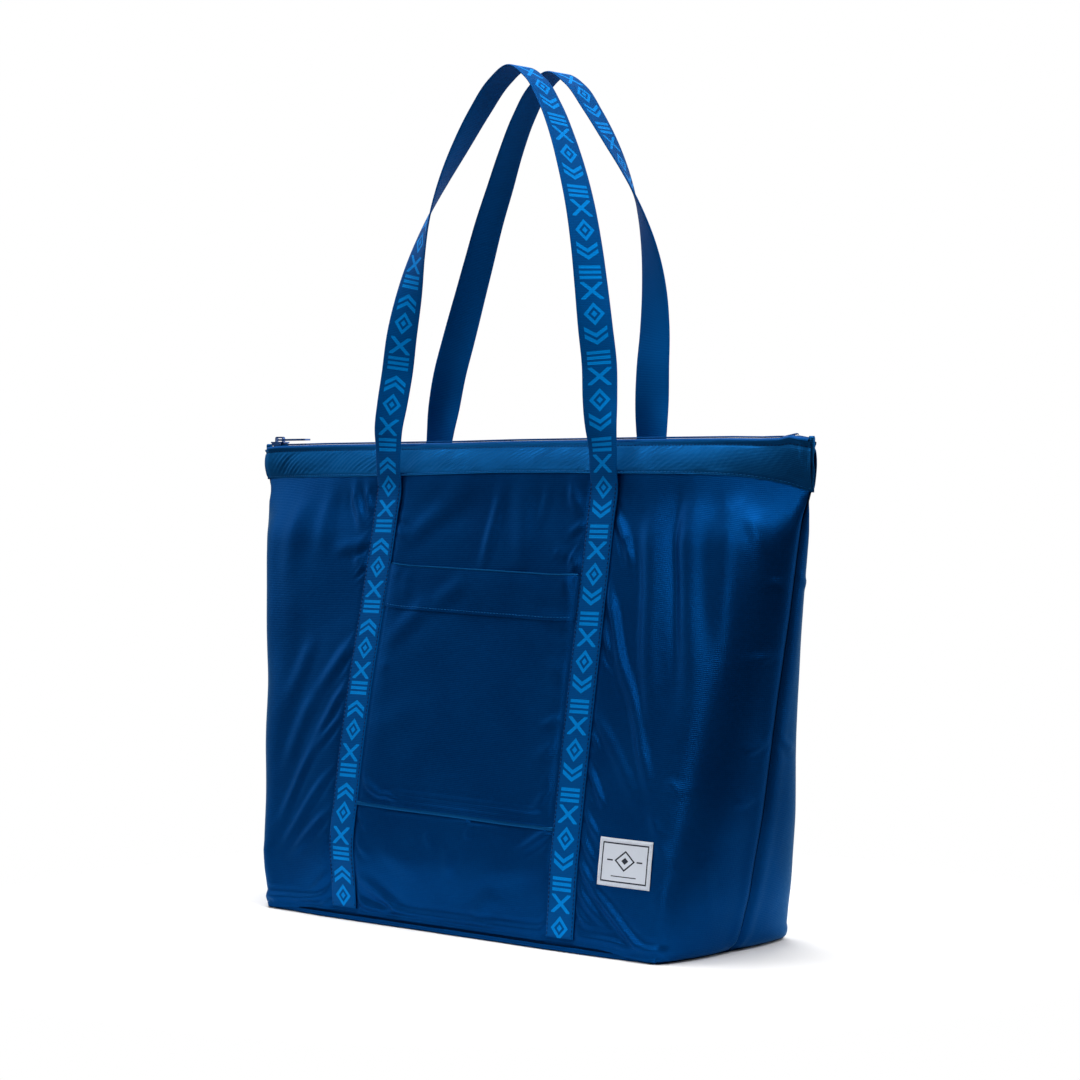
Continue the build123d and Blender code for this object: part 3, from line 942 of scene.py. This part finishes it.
def band_shape(side, seed):
    """The band between its seam and the zip: rows of points with the gathers pressed in, and the
    place of each point on the flat cloth."""
    x = np.linspace(-BAND_X, BAND_X, BAND_COLUMNS + 1)
    t = np.linspace(0, 1, BAND_ROWS + 1)[:, None]
    foot = np.stack([x, seam_y(x) - 1.1, seam_z(side * x) - 1.8], axis=1)
    top = np.stack([x, -zip_half_width(x), ZIP_Z + zip_rise(side * x)], axis=1)
    rows = foot[None] * (1 - t[:, :, None]) + top[None] * t[:, :, None]
    normals = grid_normals(rows)
    height = t * BAND_HEIGHT + np.zeros_like(x)
    across = x + np.zeros_like(height)
    # slanted gathers, fine ones over broad ones, strongest beside the straps
    lean = math.radians(52)
    line = across * math.sin(lean) - height * math.cos(lean)
    line = line + 1.5 * ripple(across, height, 42.0, seed)
    fine = 1 - np.abs(np.sin(np.pi * line / 4.9)) * 1.6
    broad = np.sin(np.pi * (line + 3 * ripple(across, height, 60, seed + 5)) / 9.5)
    mask = 0.55 + 0.45 * ripple(across, height, 48.0, seed + 1)
    mask = np.clip(mask, 0.3, 1.3)
    strapwards = np.exp(-((np.abs(across) - STRAP_X) / 34.0) ** 2)
    mask = mask * (0.65 + 0.5 * strapwards)
    mask = mask * smooth(SEAM_X - np.abs(across), 0, 30)
    mask = mask * (1 - 0.6 * smooth(side * across, 150, 230))
    window = smooth(t, 0.05, 0.22) * (1 - smooth(t, 0.78, 0.88))
    under_webbing = np.exp(-((np.abs(across) - STRAP_X) / 17.0) ** 4)
    relief = (0.60 * fine + 0.34 * broad) * mask * window
    # the band puffs out between its stitch lines, and is pressed flat under the webbing
    relief += 1.9 * np.sin(np.pi * np.clip(t / BAND_TOP_STITCH, 0, 1)) ** 0.8
    relief += 0.7 * smooth(t, 0.9, 0.95)
    relief += 0.30 * ripple(across, height, 30.0, seed + 2) * window
    relief *= 1 - 0.88 * under_webbing
    # each stitch line is drawn in, and puckers once for each stitch
    for level in (BAND_FOOT_STITCH, BAND_TOP_STITCH):
        relief -= 0.45 * np.exp(-(((t - level) * BAND_HEIGHT / 0.8) ** 2))
    pucker = np.sin(across * 2 * np.pi / STITCH_PITCH)
    for level, rise in ((BAND_FOOT_STITCH, 0.10), (BAND_TOP_STITCH, 0.08)):
        relief += rise * pucker * np.exp(-(((t - level) * BAND_HEIGHT / 1.6) ** 2))
    return rows + normals * relief[:, :, None], (across, height)


def in_three(points_x, side):
    """The half's left end, middle and right end: the part, the end's name on the whole bag, and
    its span of columns. Neighbours share the column where they are cut."""
    left = int(np.searchsorted(points_x, -MOUTH_X))
    right = int(np.searchsorted(points_x, MOUTH_X))
    spans = ((0, left + 1), (left, right + 1), (right, len(points_x)))
    parts = ("left", "middle", "right")
    return [(part, end, *span) for part, end, span in zip(parts, parts[::side], spans)]


def ride_mouth(piece, side, part):
    """The middle rides on the mouth; an end only has its transform baked into its mesh."""
    name = half_name(side)
    if part == "middle":
        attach(piece, f"{name}_mouth")
        return
    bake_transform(piece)


def band_pieces(side, seed):
    name = half_name(side)
    rows, place = band_shape(side, seed)
    normals = grid_normals(rows)
    for part, end, low, high in in_three(rows[0, :, 0], side):
        span = slice(low, high)
        piece = sheet_mesh(
            f"{name}_band_cloth_{end}", rows[:, span], normals[:, span],
            (place[0][:, span], place[1][:, span]), band_cloth, 0.8, side, lining,
        )
        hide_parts(f"{name}_band" if part == "middle" else f"{name}_band_end_{end}")
        ride_mouth(piece, side, part)
    threads = (
        (BAND_FOOT_STITCH, "foot", thread_light), (BAND_TOP_STITCH, "top", thread_dark_and_shade),
    )
    for level, label, thread in threads:
        j = level * BAND_ROWS
        low_j = int(j)
        path = rows[low_j] * (1 - j + low_j) + rows[low_j + 1] * (j - low_j)
        path = path + normals[low_j] * 0.05
        for part, end, low, high in in_three(rows[0, :, 0], side):
            piece = stitch_run(
                f"{name}_band_stitches_{label}_{end}", turned(path[low:high], side),
                turned(normals[low_j, low:high], side), thread, 2.2, STITCH_PITCH, 0.26,
            )
            ride_mouth(piece, side, part)


band_pieces(1, 201)
band_pieces(-1, 307)

tape_material, tree, shader = new_material(
    "zip_tape", Roughness=0.55, Metallic=0.3, Specular_IOR_Level=0.08,
    Specular_Tint=(0.2, 0.55, 1.0, 1.0),
)
_, across, up = cloth_position(tree)
slanted = wave(tree, math_node(tree, "ADD", across, up), 0.9)
weave = math_node(tree, "ADD", slanted, wave(tree, up, 0.8))
tone = math_node(tree, "MULTIPLY", weave, 0.4)
tree.links.new(
    mixed_colour(tree, tone, (0.0, 0.045, 0.19), (0.001, 0.085, 0.30)),
    shader.inputs["Base Color"],
)
bump(tree, shader, weave, 0.05 * MM)

coil_material, tree, shader = new_material(
    "zip_coil", Roughness=0.6, Specular_IOR_Level=0.06, Specular_Tint=(0.2, 0.55, 1.0, 1.0)
)
spot = node(tree, "ShaderNodeTexCoord").outputs["Object"]
tree.links.new(
    mixed_colour(tree, noise(tree, spot, 400.0), (0.0, 0.035, 0.15), (0.002, 0.08, 0.28)),
    shader.inputs["Base Color"],
)


def tape_pieces(side):
    """One side's zip tape, which rises from the band's edge and lies flat under the teeth."""
    name = half_name(side)
    x = np.linspace(-266.0, 266.0, 300)
    profile = np.array([
        (-7.0, 353.3), (-6.9, 354.3), (-6.0, 355.2), (-4.6, 355.55), (-3.0, 355.6), (-1.3, 355.5),
    ])
    squeeze = (zip_half_width(x) / ZIP_HALF)[None, :]
    rows = np.zeros((len(profile), len(x), 3))
    rows[:, :, 0] = x
    rows[:, :, 1] = profile[:, 0, None] * squeeze
    rows[:, :, 2] = profile[:, 1, None] + zip_rise(side * x)
    place = flat_place(rows)
    normals = grid_normals(rows)
    for part, end, low, high in in_three(x, side):
        span = slice(low, high)
        piece = sheet_mesh(
            f"{name}_zip_tape_{end}", rows[:, span], normals[:, span],
            (place[0][:, span], place[1][:, span]), tape_material, 0.5, side,
        )
        if part == "middle":
            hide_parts(f"{name}_zip_tape")
        ride_mouth(piece, side, part)


def coil_pieces(side):
    """The spiral zip's teeth on one tape: a row of small slanted arches."""
    name = half_name(side)
    pitch = 1.5
    x = np.arange(-254.0 + (0.0 if side > 0 else pitch / 2), 244.0, pitch)
    share = np.linspace(0, 1, 7)
    y = -3.3 + 3.7 * share
    z = 356.1 + 0.55 * np.sin(np.pi * share) ** 0.6
    thick = np.array([0.30, 0.42, 0.45, 0.45, 0.48, 0.52, 0.38])
    angle = np.arange(6) * np.pi / 3
    points = np.zeros((len(x), len(share), len(angle), 3))
    slant = 0.35 * share
    points[:, :, :, 0] = x[:, None, None] + slant[None, :, None]
    points[:, :, :, 0] += (thick[:, None] * np.cos(angle) * 1.15)[None]
    points[:, :, :, 1] = y[None, :, None]
    points[:, :, :, 2] = z[None, :, None] + (thick[:, None] * np.sin(angle))[None]
    points[:, :, :, 2] += zip_rise(side * x)[:, None, None]
    for part, end, low, high in in_three(x, side):
        low = low if part == "left" else low + 1
        faces = tube_faces(len(share), len(angle), high - low, other_way=True)
        teeth = turned(points[low:high], side)
        piece = mesh_object(f"{name}_zip_teeth_{end}", teeth, faces, (coil_material,))
        if part == "middle":
            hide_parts(f"{name}_zip_coil")
        ride_mouth(piece, side, part)


for half in (1, -1):
    tape_pieces(half)
    coil_pieces(half)


def roll(name, path, radius, material, seed):
    """A cloth-covered piping cord along a path."""
    path = np.array(path, float)
    run = run_along(path)
    tangent = unit(np.gradient(path, axis=0))
    up = np.array([0.0, 0.0, 1.0])
    across = unit(np.cross(tangent, up))
    angle = np.arange(14) * 2 * np.pi / 14
    size = radius * (1 + 0.035 * ripple(run, run * 0, 24.0, seed))
    rings = (
        path[:, None, :]
        + across[:, None, :] * np.cos(angle)[None, :, None] * size[:, None, None]
        + up * np.sin(angle)[None, :, None] * size[:, None, None]
    )
    flat = np.zeros(rings.shape[:2] + (2,))
    flat[:, :, 0] = run[:, None]
    flat[:, :, 1] = angle * radius
    piece = tube_mesh(name, rings, flat, (material,))
    return piece


# ---------------------------------------------------------------- pocket
POCKET_FOLDS = (
    (-10, 256, -50, 232, 8.0, 1.0), (-44, 242, -92, 200, 9.0, 1.2), (-92, 182, -78, 196, 4.6, 0.8),
    (-74, 262, -70, 238, 6.0, 0.7), (-92, 252, -80, 263, 4.2, 0.8), (-92, 140, -34, 168, 14.0, 0.7),
    (93, 184, 72, 204, 6.0, 1.0), (93, 224, 58, 234, 6.0, 0.9), (93, 160, 72, 158, 4.6, 1.0),
    (93, 146, 70, 130, 7.0, 0.8), (92, 118, 70, 92, 6.0, 0.8), (93, 132, 80, 110, 5.0, 0.7),
    (-92, 108, -62, 90, 4.8, 1.1), (-68, 100, -52, 90, 4.0, 0.7), (40, 262, 64, 236, 9.0, 0.7),
    (78, 262, 90, 240, 4.8, 0.9),
)


def pocket_pieces():
    """The patch pocket and its deep hem, which is free along the mouth."""
    z = np.linspace(POCKET_FOOT, POCKET_TOP, 89)
    x = np.linspace(-POCKET_X - 1.0, POCKET_X + 1.0, 94)
    rows = np.zeros((len(z), len(x), 3))
    rows[:, :, 0] = x
    rows[:, :, 2] = z[:, None] + pocket_slope(x)
    rows[:, :, 1] = wall_y(rows[:, :, 0], rows[:, :, 2])
    rows += OUTWARD * 0.9
    place = flat_place(rows)
    across, up = place[0], place[1]
    held = np.zeros(across.shape)
    held[0, :] = 1
    held[:, [0, 1, -2, -1]] = 1
    relief = strokes(across, rows[:, :, 2], POCKET_FOLDS, 401)
    relief += 0.45 * ripple(across, up, 80.0, 405)
    inwards = smooth(POCKET_X - np.abs(across), 0, 12)
    mouth = smooth(z, 225, POCKET_TOP)[:, None] + np.zeros_like(x)
    relief = (relief + 1.1) * inwards * smooth(up - up[0], 0, 14)
    relief += 2.2 * mouth * inwards * (0.7 + 0.4 * ripple(across, up, 90.0, 409))
    start = rows + OUTWARD * relief[:, :, None]
    start = np.where(held[:, :, None] > 0, rows, start)
    slack = np.full(across.shape, 0.0003)
    settled = settle(start, held, slack, rounds=40, inner=np.full(across.shape, 0.75))
    normals = grid_normals(settled)
    hem_row = int(np.argmin(np.abs(z - (POCKET_TOP - HEM_DEPTH))))
    main = slice(0, hem_row + 2)
    piece = sheet_mesh(
        "front_pocket_cloth", settled[main], normals[main], (across[main], up[main]), ripstop, 0.4,
    )
    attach(piece, "front_wall")
    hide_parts("front_pocket")
    hem = slice(hem_row, len(z))
    depth = np.full(len(z) - hem_row, 0.75)
    depth[-1] = 0.35
    raised = settled[hem] + normals[hem] * depth[:, None, None]
    piece = sheet_mesh(
        "front_pocket_hem_cloth", raised, normals[hem], (across[hem], up[hem]), ripstop, 1.1,
    )
    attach(piece, "front_wall")
    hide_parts("pocket_hem")
    edge_line = settled[-1, 1:-1] + normals[-1, 1:-1] * 0.3
    piece = roll("pocket_mouth_edge", edge_line, 0.7, band_cloth, 421)
    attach(piece, "front_wall")
    line = settled[hem_row + 1] + normals[hem_row + 1] * 0.85
    piece = stitch_run(
        "pocket_hem_stitches", line[2:-2], normals[hem_row + 1, 2:-2], thread_light, 2.0, 3.0, 0.22
    )
    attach(piece, "front_wall")
    # the foot: a folded edge with a lighter tape under it
    tape_z = np.linspace(POCKET_FOOT - 1.6, POCKET_FOOT + 1.2, 7)
    tape = np.zeros((7, len(x), 3))
    tape[:, :, 0] = x
    tape[:, :, 2] = tape_z[:, None] + pocket_slope(x) + 0.25 * ripple(x, x * 0, 60, 77)
    tape[:, :, 1] = wall_y(tape[:, :, 0], tape[:, :, 2])
    swell = np.sin(np.linspace(0.1, np.pi - 0.1, 7))[:, None]
    tape += OUTWARD * (0.9 + 0.9 * swell)[:, :, None]
    piece = sheet_mesh(
        "pocket_foot_binding", tape, grid_normals(tape), flat_place(tape), band_cloth, 0.8
    )
    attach(piece, "front_wall")
    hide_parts("pocket_base_tape")


pocket_pieces()

# ---------------------------------------------------------------- side seams, tabs and base
# near black on purpose: painted shade, for the dark lines in the side seams' grooves, over the
# walls' foot seams and round the gussets' foot
seam_shade_material = ripstop_material(
    "binding_cloth_painted_shade", (0.0002, 0.005, 0.022), (0.0004, 0.010, 0.040), 0.6, 0.1
)


def side_seam(end):
    """The side seam's line from foot to top: x and z."""
    z = np.linspace(WALL_FOOT, SEAM_Z, 110)
    lift = smooth(z, 286, SEAM_Z)
    z = z - (1 - smooth(z, WALL_FOOT, 36)) * foot_drop(PANEL_X)
    x = PANEL_X + gusset_reach(z)
    return end * x, z + lift * (seam_z(end * SEAM_X) - SEAM_Z)


def side_pieces(end):
    """The bound side seam, its tape near black as painted shade in the seam's groove, and the
    folded tab that closes the band's end above it.
    """
    which = "right" if end > 0 else "left"
    x, z = side_seam(end)
    outline = np.array([
        (-1.4, -0.5), (-8.0, -0.5), (-8.6, 0.0), (-8.0, 0.5), (-1.4, 0.5),
        (-0.6, 0.75), (0.3, 0.65), (0.7, 0.0), (0.3, -0.65), (-0.6, -0.75),
    ])
    rings = np.zeros((len(z), len(outline), 3))
    rings[:, :, 0] = x[:, None] + end * outline[None, :, 0]
    rings[:, :, 1] = outline[None, :, 1] * (end if end > 0 else 1)
    rings[:, :, 2] = z[:, None]
    if end < 0:
        rings = rings[:, ::-1]
    flat = np.zeros(rings.shape[:2] + (2,))
    flat[:, :, 0] = np.arange(len(outline)) * 3.0
    flat[:, :, 1] = z[:, None]
    # the tape's near-black colour is painted shade for the groove along the seam
    piece = tube_mesh(f"side_seam_tape_{which}", rings, flat, (seam_shade_material,))
    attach(piece, "bag_body")
    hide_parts(f"side_seam_binding_{which}")

    low = float(seam_z(end * SEAM_X)) - 2.5
    tab_top = 356.8
    levels = np.linspace(low, tab_top, 26)
    share = (levels - low) / (tab_top - low)
    half = 0.9 + 1.7 * smooth(share, 0.35, 1.0)
    half[-1] *= 0.55
    half[0] *= 0.6
    tab = np.array([(265.4, -1), (267.2, -1.0), (268.0, -0.72), (268.4, -0.25), (268.4, 0.25),
                    (268.0, 0.72), (267.2, 1.0), (265.4, 1), (265.0, 0)])
    rings = np.zeros((len(levels), len(tab), 3))
    crumple = 0.35 * ripple(levels, levels * 0, 16.0, 501 + end)
    rings[:, :, 0] = tab[None, :, 0] + crumple[:, None] * (tab[None, :, 0] > 266) * 0.5
    rings[:, :, 1] = tab[None, :, 1] * half[:, None] + crumple[:, None] * 0.4
    rings[:, :, 2] = levels[:, None]
    if end < 0:
        rings[:, :, 0] *= -1
        rings = rings[:, ::-1]
    flat = np.zeros(rings.shape[:2] + (2,))
    flat[:, :, 0] = np.arange(len(tab)) * 2.0
    flat[:, :, 1] = levels[:, None]
    piece = tube_mesh(f"zip_end_fold_{which}", rings, flat, (band_cloth,))
    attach(piece, "bag_body")
    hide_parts(f"zip_end_tab_{which}")


side_pieces(1)
side_pieces(-1)


def foot_outline(y):
    """How far out the sides' foot stands at this depth: it follows the rounded gussets."""
    reach = float(gusset_reach(WALL_FOOT - foot_drop(PANEL_X)))
    return PANEL_X + reach * (1 - np.clip(np.abs(y) / HALF_DEPTH, 0, 1) ** 2.5) ** 0.4


def base_pieces(side):
    """The piping along one wall's foot with a near-black cord over it as painted shade in the
    seam's valley, and half the base's cloth.
    """
    name = half_name(side)
    roll_x = 184.0
    x = np.linspace(-roll_x, roll_x, 160)
    inwards = smooth(np.abs(x), 130, roll_x)
    line = np.stack([
        x,
        -75.5 + 0.25 * ripple(x, x * 0, 70, 603 + side) + 4.0 * inwards,
        2.35 - 0.4 * inwards,
    ], axis=1)
    piece = roll(f"{name}_base_roll", turned(line, side), 1.9, ripstop, 611 + side)
    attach(piece, f"{name}_wall")
    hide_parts(f"{name}_base_piping")
    # a thin near-black cord along the valley between the wall's foot and the piping: painted shade
    # for that valley
    shadow_line = line + np.array([0.0, -0.5, 1.9])
    piece = roll(f"{name}_base_seam_shade", turned(shadow_line, side), 0.75, seam_shade_material, 615 + side)
    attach(piece, f"{name}_wall")
    y = np.linspace(0, -73.4, 24)
    rows = np.zeros((24, 110, 3))
    rows[:, :, 0] = np.linspace(-1, 1, 110) * (foot_outline(y) - 0.4)[:, None]
    rows[:, :, 1] = y[:, None]
    uneven = 0.22 * ripple(rows[:, :, 0], rows[:, :, 1], 40, 620)
    rows[:, :, 2] = 0.75 + uneven * smooth(-y, 0, 20)[:, None]
    piece = sheet_mesh(
        f"{name}_base_cloth", rows, grid_normals(rows), flat_place(rows),
        ripstop, 0.45, side, lining,
    )
    if side > 0:
        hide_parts("base_panel")
    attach(piece, "bag_body")
    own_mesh(piece)


base_pieces(1)
base_pieces(-1)
# near-black cords round the gussets' foot: painted shade along the bag's foot there
for end, which in ((1, "right"), (-1, "left")):
    y = 72.0 * np.sin(np.linspace(-np.pi / 2, np.pi / 2, 80))
    path = np.stack([end * (foot_outline(y) - 0.9), y, np.full(80, 1.5)], axis=1)
    piece = roll(f"side_base_roll_{which}", path, 1.2, seam_shade_material, 640 + end)
    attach(piece, "bag_body")
    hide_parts(f"base_piping_{which}")
    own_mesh(piece)


# ---------------------------------------------------------------- label
def label_material():
    """Pale damask with a thin frame and a plain lozenge between two dashes, in dark yarn."""
    made, tree, shader = new_material("label_damask", Roughness=0.6, Specular_IOR_Level=0.3)
    _, across, up = cloth_position(tree)
    op = partial(math_node, tree)
    u = op("SUBTRACT", across, (LABEL[0] + LABEL[1]) / 2)
    v = op("SUBTRACT", up, (LABEL[2] + LABEL[3]) / 2)
    size_u, size_v = op("ABSOLUTE", u), op("ABSOLUTE", v)
    frame_line = op("MAXIMUM", op("SUBTRACT", size_u, 19.6), op("SUBTRACT", size_v, 12.9))
    marks = op("LESS_THAN", op("ABSOLUTE", frame_line), 0.5)
    size_level = op("ABSOLUTE", op("SUBTRACT", v, 1.5))
    lozenge = op("ADD", size_u, op("MULTIPLY", size_level, 1.25))
    outline = op("LESS_THAN", op("ABSOLUTE", op("SUBTRACT", lozenge, 8.0)), 0.9)
    marks = op("MAXIMUM", marks, outline)
    marks = op("MAXIMUM", marks, op("LESS_THAN", lozenge, 3.0))
    beside = op("MULTIPLY", op("GREATER_THAN", size_u, 10.4), op("LESS_THAN", size_u, 15.4))
    marks = op("MAXIMUM", marks, op("MULTIPLY", op("LESS_THAN", size_level, 0.5), beside))
    rule = op("LESS_THAN", op("ABSOLUTE", op("ADD", v, 9.2)), 0.34)
    marks = op("MAXIMUM", marks, op("MULTIPLY", rule, op("LESS_THAN", size_u, 11.0)))
    weave = op("ADD", wave(tree, up, 0.55), op("MULTIPLY", wave(tree, across, 0.7), 0.6))
    pale = mixed_colour(
        tree, op("MULTIPLY", weave, 0.5), (0.56, 0.61, 0.70), (0.74, 0.78, 0.85)
    )
    colour = mixed_colour(tree, marks, pale, (0.012, 0.016, 0.03))
    tree.links.new(colour, shader.inputs["Base Color"])
    bump(tree, shader, op("ADD", weave, op("MULTIPLY", marks, 1.5)), 0.05 * MM)
    return made


def on_front_wall(x, z, lift):
    """Points over the settled front wall, above the zone where its foot sags."""
    column = GUSSET_COLUMNS + (x + PANEL_X) / (2 * PANEL_X) * PANEL_COLUMNS
    row = (z - WALL_FOOT) / (SEAM_Z - WALL_FOOT) * (ROWS - 1)
    i, j = column.astype(int), row.astype(int)
    right, up = (column - i)[..., None], (row - j)[..., None]
    raised = front_rows + grid_normals(front_rows) * 1.0
    total = 0
    for grid, share in ((front_rows, 1 - lift[..., None]), (raised, lift[..., None])):
        low = grid[j, i] * (1 - right) + grid[j, i + 1] * right
        high = grid[j + 1, i] * (1 - right) + grid[j + 1, i + 1] * right
        total = total + share * (low * (1 - up) + high * up)
    return total


def label_pieces():
    low_x, high_x, low_z, high_z = LABEL
    x, z = np.meshgrid(np.linspace(low_x, high_x, 40), np.linspace(low_z, high_z, 28))
    edge = np.minimum(
        smooth(x - low_x, 0, 1.6) * smooth(high_x - x, 0, 1.6),
        smooth(z - low_z, 0, 1.6) * smooth(high_z - z, 0, 1.6),
    )
    rows = on_front_wall(x, z, 0.65 + 0.35 * edge + 0.10 * ripple(x, z, 22.0, 701))
    place = (x, z)
    normals = grid_normals(rows)
    piece = sheet_mesh("woven_label_patch", rows, normals, place, label_material(), 0.5)
    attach(piece, "front_wall")
    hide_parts("woven_label")
    inset = 1.5
    loop = []
    for x0, z0, x1, z1 in (
        (low_x, low_z, high_x, low_z), (high_x, low_z, high_x, high_z),
        (high_x, high_z, low_x, high_z), (low_x, high_z, low_x, low_z),
    ):
        for t in np.linspace(0, 1, 30):
            x = np.clip(x0 + (x1 - x0) * t, low_x + inset, high_x - inset)
            z = np.clip(z0 + (z1 - z0) * t, low_z + inset, high_z - inset)
            loop.append(on_front_wall(np.array([x]), np.array([z]), np.array([1.08]))[0])
    keep = [loop[0]]
    for point in loop[1:]:
        if np.linalg.norm(point - keep[-1]) > 0.2:
            keep.append(point)
    facing = np.tile(OUTWARD, (len(keep), 1))
    piece = stitch_run("label_stitches", keep, facing, thread_white, 1.9, 2.5, 0.24)
    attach(piece, "front_wall")


label_pieces()


# ---------------------------------------------------------------- metal and stage
zip_paint, tree, shader = new_material(
    "zip_paint", Metallic=0.55, Coat_Weight=0.5, Coat_Roughness=0.12
)
spot = node(tree, "ShaderNodeTexCoord").outputs["Object"]
worn = noise(tree, spot, 260.0, 3.0)
tree.links.new(
    mixed_colour(tree, worn, (0.0, 0.045, 0.20), (0.003, 0.09, 0.33)), shader.inputs["Base Color"]
)
tree.links.new(math_node(tree, "MULTIPLY_ADD", worn, 0.25, 0.18), shader.inputs["Roughness"])
for name in ("slider_body", "pull_frame", "zip_stop"):
    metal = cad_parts[name]
    if not metal.material_slots:
        metal.data.materials.append(zip_paint)
    for slot in metal.material_slots:
        slot.material = zip_paint

# the floor fades into the white ground round the bag
floor_material, tree, shader = new_material(
    "studio_floor", Base_Color=(0.93, 0.93, 0.93, 1), Roughness=0.9
)
output = next(n for n in tree.nodes if n.type == "OUTPUT_MATERIAL")
place = node(tree, "ShaderNodeTexCoord").outputs["Object"]
reach = node(tree, "ShaderNodeVectorMath", i0=place)
reach.operation = "LENGTH"
far = smooth_ramp(tree, reach.outputs["Value"], 0.20, 0.46)
clear = node(tree, "ShaderNodeBsdfTransparent")
fading = node(tree, "ShaderNodeMixShader", i0=far, i1=shader.outputs[0], i2=clear.outputs[0])
tree.links.new(fading.outputs[0], output.inputs["Surface"])

ground_material, tree, shader = new_material("studio_ground")
output = next(n for n in tree.nodes if n.type == "OUTPUT_MATERIAL")
glow = node(tree, "ShaderNodeEmission", Strength=1.0)
tree.links.new(glow.outputs[0], output.inputs["Surface"])


def stage_plane(name, half, z, material):
    mesh = bpy.data.meshes.new(name)
    corners = [(-half, -half, z), (half, -half, z), (half, half, z), (-half, half, z)]
    mesh.from_pydata(corners, [], [(0, 1, 2, 3)])
    mesh.materials.append(material)
    plane = bpy.data.objects.new(name, mesh)
    bpy.context.collection.objects.link(plane)
    return plane


stage_plane("studio_floor", 1.0, 0.0, floor_material)
ground = stage_plane("studio_ground", 30.0, -0.004, ground_material)
ground.visible_diffuse = False
ground.visible_glossy = False
ground.visible_transmission = False
ground.visible_shadow = False
